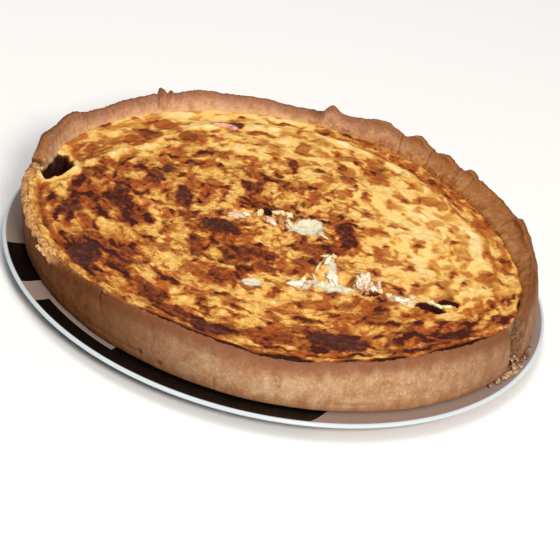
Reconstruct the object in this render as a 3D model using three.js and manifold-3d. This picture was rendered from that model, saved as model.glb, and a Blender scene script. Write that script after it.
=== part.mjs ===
// A whole round quiche, out of its tin, on a flat porcelain serving plate.
//
// Millimetres, +Z up. The origin is the centre of the plate's underside. Angles are degrees
// about the quiche's own centre, counted from +X towards +Y, so 90 is the back of the quiche,
// 180 its left side and 270 the front, where the wall is lowest above the filling.

import * as THREE from "three";
import { ConvexGeometry } from "three/addons/geometries/ConvexGeometry.js";
import { mergeVertices } from "three/addons/utils/BufferGeometryUtils.js";
import Module from "manifold-3d";

// ------------------------------------------------------------------ driving dimensions

const GAP = 0.3; // air between neighbouring pieces

const PLATE = {
  radius: 136.5,
  flatRadius: 132.3, // the level top ends here and the lip begins
  top: 7.5,
  lipTop: 8.6,
  lipUnderside: 5.6,
  footRadius: 86,
  footWidth: 4,
  recess: 2, // the underside inside the foot ring stands this high
  segments: 88,
};

const QUICHE = { x: 0.8, y: 5 }; // the quiche stands a little towards the plate's back

const CRUST = {
  bottom: PLATE.top + GAP,
  height: 24.3,
  footRadius: { x: 128.2, y: 127.2 },
  footShift: { x: 1.6, y: -2.8 },
  rimRadius: { x: 127.8, y: 128.5 },
  rimShift: { x: -2.6, y: -0.3 }, // the wall leans a little to the left
  floor: 4, // thickness of the pastry under the filling
  wallAtFoot: 7.5,
  wallAtRim: { back: 3.4, front: 4.4, left: 3.8 },
  bulge: 0.7, // of the outer wall, half way up
  bottomEdge: 1.3, // rounding where the wall meets the plate
  segments: 156,
};

// At the right the inner face slopes in: by this depth below the custard's level, from the one
// angle to the other, fully between the middle two. It thins out between these shares of the height.
const SLUMP = { depth: 7.5, angles: [-30, 25, 35, 82], shares: [0.7, 1.04] };

// How far the rim rises above its even height (mm) and from where to where (degrees):
// sags, wavy lobes and torn tips.
const RIM_LOBES = [
  { from: 4, peak: 19.5, to: 24, rise: 4.2 },
  { from: 25, peak: 35, to: 42, rise: 1 },
  { from: 36, peak: 41, to: 47, rise: 1.4 },
  { from: 41.5, peak: 43.8, to: 46.5, rise: 2.4 },
  { from: 47.5, peak: 51.5, to: 56.5, rise: 2.4 },
  { from: 56.5, peak: 60.5, to: 65.5, rise: 4.2 },
  { from: 65, peak: 70, to: 80, rise: 4.2 },
  { from: 81.5, peak: 84, to: 87, rise: 3.6 },
  { from: 80, peak: 94, to: 104, rise: -2 },
  { from: 110, peak: 119, to: 125, rise: 1.6 },
  { from: 123.5, peak: 127, to: 129.5, rise: 3 },
  { from: 136, peak: 145, to: 153, rise: -1.3 },
  { from: 151, peak: 159, to: 170, rise: 4 },
  { from: 161, peak: 171.5, to: 176.5, rise: 4 },
  { from: 173.5, peak: 180.5, to: 205, rise: -4.6 },
  { from: 184, peak: 222, to: 237, rise: -4.2 },
  { from: 240, peak: 254, to: 262, rise: 0.8 },
  { from: 260, peak: 277, to: 294, rise: -2.3 },
  { from: 293, peak: 310, to: 327, rise: 1.3 },
  { from: 318, peak: 333, to: 345, rise: -1.5 },
  { from: 336, peak: 342, to: 347.5, rise: -4.2 },
];

// A piece of the wall has broken away here, down to a crumbly stump.
const BREAK = { from: 333.8, to: 342.5, cleanCut: 1, slope: 3, stump: 7 };

const FILLING = {
  level: 27, // height of the custard in the middle
  slope: 0.012, // it lies higher at the front
  moat: 2.2, // how far it sinks along the back and the sides
  moatWidth: 21,
  shoreline: { inset: 23.5, width: 2.6, rise: 1 }, // pale ridge where the moat begins
  frontLap: 1, // how far below the rim the custard ends at the front
  frontLapWidth: 13,
  clearance: 0.45, // to the pastry, round the side
  segments: 92,
  ringInsets: [3, 8, 14, 19, 23.5, 28, 35, 44, 54, 64, 74, 84, 94, 104, 113],
};

// Long low swells of the skin: direction (degrees), wavelength and height (mm), phase.
const SWELLS = [
  { direction: 72, length: 31, height: 0.35, phase: 0.4 },
  { direction: 110, length: 47, height: 0.4, phase: 2.1 },
  { direction: 15, length: 66, height: 0.3, phase: 4.4 },
];

// Where the custard has torn open: a pit of this size and depth, from its own middle.
const PITS = [
  { name: "middle tear", x: 10, y: 7, length: 20, width: 17, depth: 3, turn: 20 },
  { name: "middle hole", x: -10, y: 12.5, length: 7, width: 5, depth: 5, turn: 0 },
  { name: "front tear", x: 27, y: -38, length: 26, width: 13, depth: 3.2, turn: -18 },
  { name: "right hole", x: 79, y: -43, length: 18, width: 6.5, depth: 5, turn: 22 },
];

// Shreds and lumps of the inside, standing proud at the tears.
const SHREDS = [
  { x: -22, y: 2, length: 9, width: 4, height: 1.9, turn: 30 },
  { x: 6, y: 10, length: 11, width: 6, height: 2.2, turn: 50 },
  { x: 13, y: 3, length: 9, width: 7, height: 2.2, turn: -30 },
  { x: 25, y: -26, length: 5, width: 9, height: 3, turn: 15 },
  { x: 30, y: -38, length: 10, width: 6, height: 3, turn: -40 },
  { x: 41.5, y: -38, length: 9, width: 8, height: 3.4, turn: 10 },
  { x: 47, y: -46, length: 6, width: 5, height: 2.2, turn: 60 },
  { x: 63, y: -48.5, length: 11, width: 5, height: 1.9, turn: 0 },
  { x: 73, y: -40, length: 8, width: 3.5, height: 2.2, turn: 35 },
];

// The corner pulled away from the crust: outline at the skin and at the bottom of the hollow.
const HOLLOW = {
  top: 34,
  bottom: 15,
  outline: [
    [-128, 27],
    [-115.5, 27.5],
    [-110.5, 20],
    [-108.3, 10],
    [-112.5, 2],
    [-121, -1.5],
    [-128, -0.5],
  ],
  taper: 0.82, // of the outline, at the bottom
};

const COLOURS = {
  plate: { color: 0xe6e4e2, roughness: 0.22, metalness: 0 },
  crust: { color: 0xb98a62, roughness: 0.85, metalness: 0 },
  filling: { color: 0xe2a04a, roughness: 0.5, metalness: 0 },
};

// ------------------------------------------------------------------------------ helpers

const { clamp, lerp, smoothstep, degToRad } = THREE.MathUtils;

const fullTurn = (degrees) => ((degrees % 360) + 360) % 360;

// 0 outside from..to, 1 at the peak, smooth on both sides.
function lobe(angle, { from, peak, to }) {
  const at = fullTurn(angle);
  return at < peak ? smoothstep(at, from, peak) : 1 - smoothstep(at, peak, to);
}

// A small repeatable unevenness, within -1..1, that joins up after a full turn.
function jitter(angle, seed) {
  const a = degToRad(angle);
  return (
    0.5 * Math.sin(5 * a + seed) +
    0.3 * Math.sin(11 * a + 2.3 * seed) +
    0.2 * Math.sin(23 * a + 4.1 * seed)
  );
}

// Angles of the stations round a piece, closer together at both ends of the break.
function stations(segments) {
  const step = 360 / segments;
  const even = Array.from({ length: segments }, (_, i) => i * step);
  const ends = [BREAK.from, BREAK.from + BREAK.cleanCut, BREAK.to - BREAK.slope, BREAK.to];
  const apart = even.filter((angle) => ends.every((end) => Math.abs(angle - end) > 0.3 * step));
  return [...apart, ...ends].sort((a, b) => a - b);
}

// The closed surface through the rows of points, from the lower pole out, up and back in.
function skin(lowerPole, rows, upperPole) {
  const count = rows[0].length;
  const points = [lowerPole, ...rows.flat(), upperPole];
  const at = (row, i) => 1 + row * count + (i % count);
  const index = [];
  for (let i = 0; i < count; i++) {
    index.push(0, at(0, i + 1), at(0, i));
    for (let row = 0; row < rows.length - 1; row++) {
      index.push(at(row, i), at(row, i + 1), at(row + 1, i + 1));
      index.push(at(row, i), at(row + 1, i + 1), at(row + 1, i));
    }
    index.push(points.length - 1, at(rows.length - 1, i), at(rows.length - 1, i + 1));
  }
  return new THREE.BufferGeometry().setFromPoints(points).setIndex(index);
}

// ------------------------------------------------------------------ booleans on geometry

const wasm = await Module();
wasm.setup();

function toSolid(geometry) {
  const bare = geometry.clone();
  bare.deleteAttribute("normal");
  bare.deleteAttribute("uv");
  const merged = mergeVertices(bare, 1e-3);
  return new wasm.Manifold(
    new wasm.Mesh({
      numProp: 3,
      vertProperties: new Float32Array(merged.attributes.position.array),
      triVerts: new Uint32Array(merged.index.array),
    }),
  );
}

function toGeometry(solid) {
  const mesh = solid.getMesh();
  const positions = new THREE.BufferAttribute(mesh.vertProperties, 3);
  const geometry = new THREE.BufferGeometry().setAttribute("position", positions);
  return geometry.setIndex(new THREE.BufferAttribute(mesh.triVerts, 1));
}

function piece(name, geometry) {
  geometry.computeVertexNormals();
  const mesh = new THREE.Mesh(geometry, new THREE.MeshStandardMaterial(COLOURS[name]));
  mesh.name = name;
  return mesh;
}

// -------------------------------------------------------------------------------- plate

function plateGeometry() {
  const { radius, flatRadius, top, lipTop, lipUnderside, footRadius, footWidth, recess } = PLATE;
  const middle = (lipTop + lipUnderside) / 2;
  const profile = [
    [0, recess],
    [footRadius - footWidth - 2, recess],
    [footRadius - footWidth, 0],
    [footRadius, 0],
    [footRadius + 2.5, 2.6],
    [radius - 3.5, lipUnderside - 0.5],
    [radius - 1.2, lipUnderside + 0.3],
    [radius, middle - 0.3],
    [radius - 0.7, lipTop - 0.4],
    [radius - 2, lipTop],
    [flatRadius + 1, top + 0.35],
    [flatRadius, top],
    [0, top],
  ];
  const points = profile.map(([r, z]) => new THREE.Vector2(r, z));
  return new THREE.LatheGeometry(points, PLATE.segments).rotateX(Math.PI / 2);
}

// -------------------------------------------------------------------------------- crust

// 0 in the whole wall, 1 where it has broken away.
function broken(angle) {
  const at = fullTurn(angle);
  const { from, to, cleanCut, slope } = BREAK;
  return smoothstep(at, from, from + cleanCut) * (1 - smoothstep(at, to - slope, to));
}

function rimHeight(angle) {
  const lobes = RIM_LOBES.reduce((sum, one) => sum + one.rise * lobe(angle, one), 0);
  const whole = CRUST.bottom + CRUST.height + lobes + 0.45 * jitter(angle, 1.7);
  const stump = CRUST.bottom + BREAK.stump + 1.2 * jitter(3 * angle, 0.6);
  return lerp(whole, stump, broken(angle));
}

// Share of the even wall height, 0 at the plate and 1 at the rim.
const heightShare = (z) => (z - CRUST.bottom) / CRUST.height;

// A point of the wall at this angle and height, this far in from the even outer face.
function wallPoint(angle, z, inset) {
  const share = heightShare(z);
  const level = clamp(share, 0, 1);
  const a = degToRad(angle);
  const outward = CRUST.bulge * Math.sin(Math.PI * level) + 0.35 * jitter(angle, 3.1) - inset;
  const rx = lerp(CRUST.footRadius.x, CRUST.rimRadius.x, level) + outward;
  const ry = lerp(CRUST.footRadius.y, CRUST.rimRadius.y, level) + outward;
  return new THREE.Vector3(
    QUICHE.x + lerp(CRUST.footShift.x, CRUST.rimShift.x, share) + rx * Math.cos(a),
    QUICHE.y + lerp(CRUST.footShift.y, CRUST.rimShift.y, share) + ry * Math.sin(a),
    z,
  );
}

function slump(angle, z) {
  const [from, full, fading, to] = SLUMP.angles.map((one) => one - SLUMP.angles[0]);
  const past = fullTurn(angle - SLUMP.angles[0]);
  const round = smoothstep(past, from, full) * (1 - smoothstep(past, fading, to));
  return SLUMP.depth * round * (1 - smoothstep(heightShare(z), ...SLUMP.shares));
}

// Thickness of the wall: thick at the floor, thin at the rim, thinnest at the back.
function wallThickness(angle, z) {
  const { back, front, left } = CRUST.wallAtRim;
  const a = degToRad(angle);
  const frontBack = lerp(front, back, 0.5 + 0.5 * Math.sin(a));
  const rim = frontBack + (left - frontBack) * Math.max(0, -Math.cos(a)) ** 3;
  return lerp(CRUST.wallAtFoot, rim, clamp(heightShare(z), 0, 1)) + slump(angle, z);
}

function crustGeometry() {
  const { bottom, floor, bottomEdge, segments } = CRUST;
  const floorTop = bottom + floor;
  const rows = Array.from({ length: 12 }, () => []);
  for (const angle of stations(segments)) {
    const rim = rimHeight(angle);
    const rise = rim - bottom;
    const atRim = wallThickness(angle, rim);
    const inside = (z, more = 0) => wallPoint(angle, z, wallThickness(angle, z) + more);
    const profile = [
      wallPoint(angle, bottom, 2 * bottomEdge),
      wallPoint(angle, bottom + bottomEdge, 0),
      wallPoint(angle, bottom + 0.4 * rise, 0),
      wallPoint(angle, bottom + 0.75 * rise, 0.1),
      wallPoint(angle, rim - 1, 0.3),
      wallPoint(angle, rim, 0.3 * atRim),
      wallPoint(angle, rim - 0.3, 0.75 * atRim),
      inside(rim - 1.3),
      inside(Math.min(FILLING.level - 1, rim - 2)),
      inside(lerp(floorTop, rim, 0.45)),
      inside(floorTop + 0.8),
      inside(floorTop, 1),
    ];
    profile.forEach((point, row) => rows[row].push(point));
  }
  const pole = (z) => new THREE.Vector3(QUICHE.x, QUICHE.y + CRUST.footShift.y, z);
  return skin(pole(bottom), rows, pole(floorTop));
}

// ------------------------------------------------------------------------------ filling

// How much the custard is sunk along the wall here: 1 round the back, 0 at the front.
function sunken(angle) {
  const at = fullTurn(angle + 90); // 0 at the front, so the back is one unbroken stretch
  return smoothstep(at, 62, 92) * (1 - smoothstep(at, 268, 300));
}

// Height of the custard's skin; inset is the distance from the wall.
function skinHeight(angle, x, y, inset) {
  const sunk = sunken(angle);
  const { level, slope, moat, moatWidth, shoreline, frontLap, frontLapWidth } = FILLING;
  const even = level - slope * (y - QUICHE.y);
  const sink = moat * (1 - smoothstep(inset, 0.45 * moatWidth, moatWidth));
  const ridge = shoreline.rise * Math.exp(-(((inset - shoreline.inset) / shoreline.width) ** 2));
  const lapTop = CRUST.bottom + CRUST.height - frontLap - 1.6;
  const lap = Math.max(0, lapTop - even) * (1 - smoothstep(inset, 0, frontLapWidth));
  const swell = SWELLS.reduce((sum, { direction, length, height, phase }) => {
    const along = x * Math.cos(degToRad(direction)) + y * Math.sin(degToRad(direction));
    return sum + height * Math.sin((2 * Math.PI * along) / length + phase);
  }, 0);
  return even - sunk * (sink - ridge) + (1 - sunk) * lap + swell * smoothstep(inset, 2, 12);
}

// A point of the custard's skin, this far in from its side.
function skinPoint(angle, inset) {
  const edge = (z) => wallPoint(angle, z, wallThickness(angle, z) + FILLING.clearance + 0.5);
  const guess = edge(FILLING.level);
  const side = edge(skinHeight(angle, guess.x, guess.y, 0));
  const radius = Math.hypot(side.x - QUICHE.x, side.y - QUICHE.y);
  const share = 1 - inset / radius;
  const x = QUICHE.x + (side.x - QUICHE.x) * share;
  const y = QUICHE.y + (side.y - QUICHE.y) * share;
  return new THREE.Vector3(x, y, skinHeight(angle, x, y, inset));
}

function filledShell() {
  const bottom = CRUST.bottom + CRUST.floor + GAP;
  const { clearance, segments, ringInsets } = FILLING;
  const rows = Array.from({ length: 3 + ringInsets.length }, () => []);
  for (let i = 0; i < segments; i++) {
    const angle = (360 / segments) * i;
    const side = (z, more) => wallPoint(angle, z, wallThickness(angle, z) + clearance + more);
    const edge = skinPoint(angle, 0);
    const profile = [
      side(bottom, 1.3),
      side(edge.z - 1.2, 0),
      edge,
      ...ringInsets.map((inset) => skinPoint(angle, inset)),
    ];
    profile.forEach((point, row) => rows[row].push(point));
  }
  const middleHeight = skinHeight(90, QUICHE.x, QUICHE.y, 120);
  return skin(
    new THREE.Vector3(QUICHE.x, QUICHE.y, bottom),
    rows,
    new THREE.Vector3(QUICHE.x, QUICHE.y, middleHeight),
  );
}

// A rough lump of these full sizes, its middle at x, y, z.
function lump({ x, y, length, width, turn }, height, z, seed) {
  const geometry = mergeVertices(new THREE.IcosahedronGeometry(0.5, 1).deleteAttribute("uv"));
  const at = geometry.attributes.position;
  for (let i = 0; i < at.count; i++) {
    const uneven = 1 + 0.12 * Math.sin(7.3 * i + seed);
    at.setXYZ(i, at.getX(i) * uneven, at.getY(i) * uneven, at.getZ(i));
  }
  return geometry
    .scale(length, width, height)
    .rotateZ(degToRad(turn))
    .translate(x, y, z);
}

function hollowGeometry() {
  const { top, bottom, outline, taper } = HOLLOW;
  const middle = outline
    .reduce((sum, [x, y]) => sum.add(new THREE.Vector2(x, y)), new THREE.Vector2())
    .divideScalar(outline.length);
  const corners = outline.flatMap(([x, y]) => {
    const low = middle.clone().lerp(new THREE.Vector2(x, y), taper);
    return [new THREE.Vector3(x, y, top), new THREE.Vector3(low.x, low.y, bottom)];
  });
  return new ConvexGeometry(corners);
}

function fillingGeometry() {
  let solid = toSolid(filledShell());
  solid = solid.subtract(toSolid(hollowGeometry()));
  PITS.forEach((pit, i) => {
    solid = solid.subtract(toSolid(lump(pit, 2 * pit.depth, skinLevel(pit), i)));
  });
  SHREDS.forEach((shred, i) => {
    solid = solid.add(toSolid(lump(shred, 2 * shred.height, skinLevel(shred) - 0.8, 20 + i)));
  });
  return toGeometry(solid);
}

// Height of the even skin above a place on the quiche.
function skinLevel({ x, y }) {
  const angle = (180 / Math.PI) * Math.atan2(y - QUICHE.y, x - QUICHE.x);
  const inset = CRUST.rimRadius.x - Math.hypot(x - QUICHE.x, y - QUICHE.y);
  return skinHeight(angle, x, y, inset);
}

// ------------------------------------------------------------------------------ assembly

const quiche = new THREE.Group();
quiche.add(piece("plate", plateGeometry()));
quiche.add(piece("crust", crustGeometry()));
quiche.add(piece("filling", fillingGeometry()));

export default quiche;
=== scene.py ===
# %% [markdown]
# # A whole quiche on a flat serving plate
# A deep quiche has come out of its tin and stands on a flat glazed plate. Its custard is browned in
# hundreds of soft spots, torn open in the middle and pulled away from the pastry on the left, and a
# piece of the pastry wall has broken off on the right.
#
# Every shape here is a surface worked out with numpy: points on a grid of two parameters. The sizes
# are millimetres until a mesh is made, because that is how a baker's tin is measured, and the packed
# model gives the frame that everything has to stay in.

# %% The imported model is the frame
import math

import bmesh
import bpy
import numpy as np
from mathutils import Matrix, Vector


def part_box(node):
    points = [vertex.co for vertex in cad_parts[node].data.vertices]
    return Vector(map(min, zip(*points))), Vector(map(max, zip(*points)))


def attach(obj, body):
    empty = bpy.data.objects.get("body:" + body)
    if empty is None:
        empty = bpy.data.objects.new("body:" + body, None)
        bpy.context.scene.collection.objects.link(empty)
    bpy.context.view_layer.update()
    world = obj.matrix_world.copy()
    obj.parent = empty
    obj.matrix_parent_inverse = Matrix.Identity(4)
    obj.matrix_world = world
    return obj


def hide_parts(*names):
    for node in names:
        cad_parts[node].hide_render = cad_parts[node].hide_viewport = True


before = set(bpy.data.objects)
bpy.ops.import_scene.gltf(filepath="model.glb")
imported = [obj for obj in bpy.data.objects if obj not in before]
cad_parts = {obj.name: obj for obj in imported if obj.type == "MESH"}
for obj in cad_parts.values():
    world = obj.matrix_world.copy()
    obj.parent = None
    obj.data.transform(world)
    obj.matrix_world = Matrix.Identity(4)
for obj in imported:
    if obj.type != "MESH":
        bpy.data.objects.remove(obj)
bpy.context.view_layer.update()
MM = 0.001  # one millimetre in Blender's metres

# %% Sizes read from the frame
plate_low, plate_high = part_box("plate")
PLATE_RADIUS = 0.5 * (plate_high[0] - plate_low[0]) / MM
CRUST_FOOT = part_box("crust")[0][2] / MM
CRUST_FLOOR = 4.0  # how thick the case's floor is
FILLING_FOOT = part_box("filling")[0][2] / MM
print("plate radius", round(PLATE_RADIUS, 1), "mm, crust stands at", round(CRUST_FOOT, 1), "mm")

# %% [markdown]
# ## Numbers that vary smoothly
# Food has no straight lines. A few small functions of whole arrays give every unevenness here: a soft
# step, a bell, and Perlin noise, which is random but smooth. Each noise has its own seed, so the quiche
# comes out the same every time.

# %% Soft steps and bells


def mix(a, b, share):
    """a where share is 0, b where it is 1, and evenly between."""
    return a + (b - a) * share


def smoothstep(value, low, high):
    """0 below low, 1 above high, and 3t^2 - 2t^3 between, with t the share of the way. With low above
    high it falls instead."""
    share = np.clip((value - low) / (high - low), 0, 1)
    return share * share * (3 - 2 * share)


def bell(value, middle, width):
    """exp(-((value - middle) / width)^2): 1 at the middle, nearly 0 two widths away."""
    return np.exp(-(((value - middle) / width) ** 2))


def window(angle, start, full, fading, end):
    """1 from full to fading and 0 outside start to end, in degrees, taken round the circle."""
    past = (angle - start) % 360
    return smoothstep(past, 0, full - start) * smoothstep(past, end - start, fading - start)


def apart(angle, at):
    """The way from one angle to another, -180 to 180 degrees."""
    return (angle - at + 180) % 360 - 180


def pushed(x, y, angle, distance):
    """The point moved outwards by distance, in the direction of the angle in degrees."""
    return x + distance * np.cos(np.radians(angle)), y + distance * np.sin(np.radians(angle))


# %% Perlin noise


def perlin(x, y, z=0.0, seed=0):
    """Gradient noise, about -1 to 1. Each corner of a unit lattice has a random direction; the value
    is the smooth mean, over the eight corners, of direction dotted with the way from the corner."""
    random = np.random.default_rng(seed)
    order = np.tile(random.permutation(256), 3)
    slopes = random.normal(size=(256, 3))
    slopes /= np.linalg.norm(slopes, axis=1, keepdims=True)
    place = np.stack(np.broadcast_arrays(x, y, z)).astype(float)
    cell = np.floor(place).astype(int)
    local = place - cell
    fade = local**3 * (local * (local * 6 - 15) + 10)
    total = np.zeros(place.shape[1:])
    for corner in np.ndindex(2, 2, 2):
        cx, cy, cz = ((cell[axis] + corner[axis]) % 256 for axis in range(3))
        slope = slopes[order[order[order[cx] + cy] + cz]]
        weight = np.ones_like(total)
        along = np.zeros_like(total)
        for axis in range(3):
            weight *= fade[axis] if corner[axis] else 1 - fade[axis]
            along += slope[..., axis] * (local[axis] - corner[axis])
        total += weight * along
    return 1.6 * total


def layered(x, y, z=0.0, size=10.0, seed=0, octaves=3, fall=0.5):
    """Perlin noise of the given size in mm, plus octaves of half the size and fall times the height."""
    total, height = 0.0, 1.0
    for octave in range(octaves):
        step = size / 2**octave
        total = total + height * perlin(x / step, y / step, z / step, seed + octave)
        height *= fall
    return total


# %% [markdown]
# ## From arrays to meshes
# A grid of points becomes a mesh with `foreach_set`, which copies a whole array at once. What varies
# over a surface, such as how brown it is, is stored on its points as an attribute, and the material
# reads it there.

# %% Mesh helpers


def rings_to_quads(rings, count):
    """Faces between neighbouring closed rings of count points each, stored one ring after the other."""
    ring, point = np.meshgrid(np.arange(rings - 1), np.arange(count), indexing="ij")
    following = (point + 1) % count
    low, high = ring * count, (ring + 1) * count
    return np.stack([low + point, low + following, high + following, high + point], -1).reshape(-1, 4)


def fan(ring, centre, outwards):
    """Triangles from a closed ring of point numbers to one centre point."""
    following = np.roll(ring, -1)
    sides = (ring, following) if outwards else (following, ring)
    return np.stack([sides[0], sides[1], np.full_like(ring, centre)], -1)


def close_rings(grid, ends):
    """Points and faces of a solid from its rings, (rings, points, 3), with a fan to a point at each end."""
    rings, count = grid.shape[:2]
    points = np.concatenate([grid.reshape(-1, 3), ends])
    first, last = np.arange(count), np.arange(count) + (rings - 1) * count
    fans = [fan(first, len(points) - 2, False), fan(last, len(points) - 1, True)]
    return points, [rings_to_quads(rings, count), *fans]


def make_piece(name, points, faces, slot, attributes=None):
    """A mesh object at the origin, from points in mm and arrays of faces, that rides on the one body."""
    mesh = bpy.data.meshes.new(name)
    corners = np.concatenate([part.ravel() for part in faces])
    sizes = np.concatenate([np.full(len(part), part.shape[1]) for part in faces])
    mesh.vertices.add(len(points))
    mesh.vertices.foreach_set("co", (np.asarray(points) * MM).astype(np.float32).ravel())
    mesh.loops.add(len(corners))
    mesh.loops.foreach_set("vertex_index", corners.astype(np.int32))
    mesh.polygons.add(len(sizes))
    mesh.polygons.foreach_set("loop_start", np.concatenate([[0], np.cumsum(sizes)[:-1]]).astype(np.int32))
    mesh.polygons.foreach_set("use_smooth", np.ones(len(sizes), bool))
    mesh.update(calc_edges=True)
    for key, values in (attributes or {}).items():
        layer = mesh.attributes.new(key, "FLOAT", "POINT")
        layer.data.foreach_set("value", np.asarray(values, np.float32).ravel())
    if mesh.validate():
        print("  the mesh of", name, "needed mending")
    piece = bpy.data.objects.new(name, mesh)
    bpy.context.scene.collection.objects.link(piece)
    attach(piece, "root")
    print(f"{name}: {len(points)} points, {(sizes - 2).sum()} triangles")
    return piece


# %% [markdown]
# ## Shader arithmetic
# A material is a tree of nodes. Wrapping each socket in a small class lets an expression such as
# `1 - mask * 0.5` add the Math nodes by itself, which reads far better than dozens of links.

# %% Sockets that can be added and multiplied


class Socket:
    """An output of a node that takes part in arithmetic: each operator adds one Math node."""

    def __init__(self, finish, output):
        self.finish = finish
        self.output = output

    def math(self, operation, *values):
        return self.finish.node("Math", {"operation": operation}, dict(enumerate(values)))

    def __add__(self, other):
        return self.math("ADD", self, other)

    __radd__ = __add__

    def __sub__(self, other):
        return self.math("SUBTRACT", self, other)

    def __rsub__(self, other):
        return self.math("SUBTRACT", other, self)

    def __mul__(self, other):
        return self.math("MULTIPLY", self, other)

    __rmul__ = __mul__

    def __truediv__(self, other):
        return self.math("DIVIDE", self, other)

    def __rtruediv__(self, other):
        return self.math("DIVIDE", other, self)

    def __pow__(self, other):
        return self.math("POWER", self, other)

    def step(self, low, high):
        """Soft step of this value between low and high."""
        settings = {"interpolation_type": "SMOOTHSTEP"}
        return self.finish.node("MapRange", settings, {0: self, 1: low, 2: high, 3: 0.0, 4: 1.0})


# %% A material and its nodes


class Finish:
    """One material and the nodes in it."""

    def __init__(self, name, **constants):
        self.material = bpy.data.materials.new(name)
        self.material.use_nodes = True
        self.tree = self.material.node_tree
        self.shader = self.tree.nodes["Principled BSDF"]
        for key, value in constants.items():
            self.shader.inputs[key.replace("_", " ").title().replace("Ior", "IOR")].default_value = value

    def node(self, kind, settings=None, inputs=None, output=0):
        """Adds a node: its settings first, then the values or links of its sockets."""
        node = self.tree.nodes.new("ShaderNode" + kind)
        for key, value in (settings or {}).items():
            if key == "stops":
                self.set_stops(node.color_ramp.elements, value)
            else:
                setattr(node, key, value)
        for key, value in (inputs or {}).items():
            if isinstance(value, Socket):
                self.tree.links.new(value.output, node.inputs[key])
            else:
                node.inputs[key].default_value = value
        return Socket(self, node.outputs[output])

    @staticmethod
    def set_stops(elements, stops):
        """The stops of a colour ramp, given as place and #RRGGBB code of each."""
        while len(elements) < len(stops):
            elements.new(1.0)
        for element, (place, code) in zip(elements, stops.items()):
            element.position = place
            element.color = paint(code)

    def attribute(self, name):
        """A number stored on the points of the mesh."""
        return self.node("Attribute", {"attribute_name": name}, output="Fac")

    def attributes(self, names):
        """Several of them, from their names in one string."""
        return [self.attribute(name) for name in names.split()]

    def noise(self, size, detail=2.0, roughness=0.5, stretch=(1, 1, 1)):
        """Noise from 0 to 1 with features of this size in mm, in object coordinates."""
        where = self.node("TexCoord", output="Object")
        where = self.node("Mapping", inputs={"Vector": where, "Scale": stretch})
        inputs = {"Vector": where, "Scale": 1 / (size * MM), "Detail": detail, "Roughness": roughness}
        return self.node("TexNoise", inputs=inputs)

    def blend(self, first, second, share):
        """A mix of two colours, each a #RRGGBB code or the output of a node."""
        first, second = (paint(one) if isinstance(one, str) else one for one in (first, second))
        return self.node("Mix", {"data_type": "RGBA"}, {0: share, 6: first, 7: second}, output=2)

    def coats(self, colour, *coats):
        """Colours laid one over the other, each with its share."""
        for coat, share in coats:
            colour = self.blend(colour, coat, share)
        return colour

    def feed(self, key, value):
        """Links a value to a socket of the shader."""
        self.tree.links.new(value.output, self.shader.inputs[key])

    def bump(self, height, distance):
        """Fine relief: height from 0 to 1 stands for distance mm."""
        self.feed("Normal", self.node("Bump", inputs={"Height": height, "Distance": distance * MM}))


# %% Colours, and giving a piece its material


def paint(code):
    """Linear colour of a #RRGGBB code as it looks on a screen."""
    channels = np.array([int(code[i : i + 2], 16) for i in (1, 3, 5)]) / 255
    linear = np.where(channels <= 0.04045, channels / 12.92, ((channels + 0.055) / 1.055) ** 2.4)
    return (*linear.tolist(), 1.0)


def dress(piece, finish):
    """Gives a piece its material."""
    piece.data.materials.append(finish.material)
    print(f"{finish.material.name}: {len(finish.tree.nodes)} nodes, on {piece.name}")


# %% [markdown]
# ## Camera, light and floor
# The camera stands in front and looks down at about thirty degrees, a little tilted, through a long
# lens. Its place is given by the point it looks at, the distance and three angles. A wide soft light
# stands to the front right, another hangs over the table, and the floor is plain and pale.

# %% Camera
VIEW_TARGET = (3.32, -15.12, 6.8)
VIEW_DISTANCE = 976.85
VIEW_PITCH = math.radians(30.483)  # below the horizon
VIEW_ROLL = math.radians(12.952)
VIEW_LENS = 128.59  # mm, for a picture 36 mm wide

forward = Vector((0, math.cos(VIEW_PITCH), -math.sin(VIEW_PITCH)))
level_up = Vector((0, math.sin(VIEW_PITCH), math.cos(VIEW_PITCH)))
camera_right = math.cos(VIEW_ROLL) * Vector((1, 0, 0)) + math.sin(VIEW_ROLL) * level_up
camera_up = -math.sin(VIEW_ROLL) * Vector((1, 0, 0)) + math.cos(VIEW_ROLL) * level_up
camera = bpy.data.objects.new("camera", bpy.data.cameras.new("camera"))
camera.data.lens = VIEW_LENS
camera.data.sensor_width = 36
turned = Matrix((camera_right, camera_up, -forward)).transposed().to_4x4()
camera.matrix_world = Matrix.Translation((Vector(VIEW_TARGET) - VIEW_DISTANCE * forward) * MM) @ turned
bpy.context.scene.collection.objects.link(camera)
bpy.context.scene.camera = camera
bpy.context.scene.view_settings.view_transform = "Standard"
print("the camera stands", round(camera.location.z, 3), "m above the table")

# %% Light


def softbox(name, place, size, power, colour):
    """A square area light, size metres wide, at place, facing the middle of the table."""
    light = bpy.data.lights.new(name, "AREA")
    light.size = size
    light.energy = power
    light.color = paint(colour)[:3]
    lamp = bpy.data.objects.new(name, light)
    lamp.location = place
    lamp.rotation_euler = (-Vector(place)).to_track_quat("-Z", "Y").to_euler()
    bpy.context.scene.collection.objects.link(lamp)


softbox("front_light", (0.63, -1.55, 1.25), 0.6, 36, "#FFF9F0")
softbox("ceiling_light", (-0.2, 0.4, 1.8), 1.2, 13, "#FFFFFF")
world = bpy.data.worlds.new("room")
world.use_nodes = True
background = world.node_tree.nodes["Background"]
background.inputs["Color"].default_value = paint("#F8F6F3")
background.inputs["Strength"].default_value = 0.36
bpy.context.scene.world = world

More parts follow.
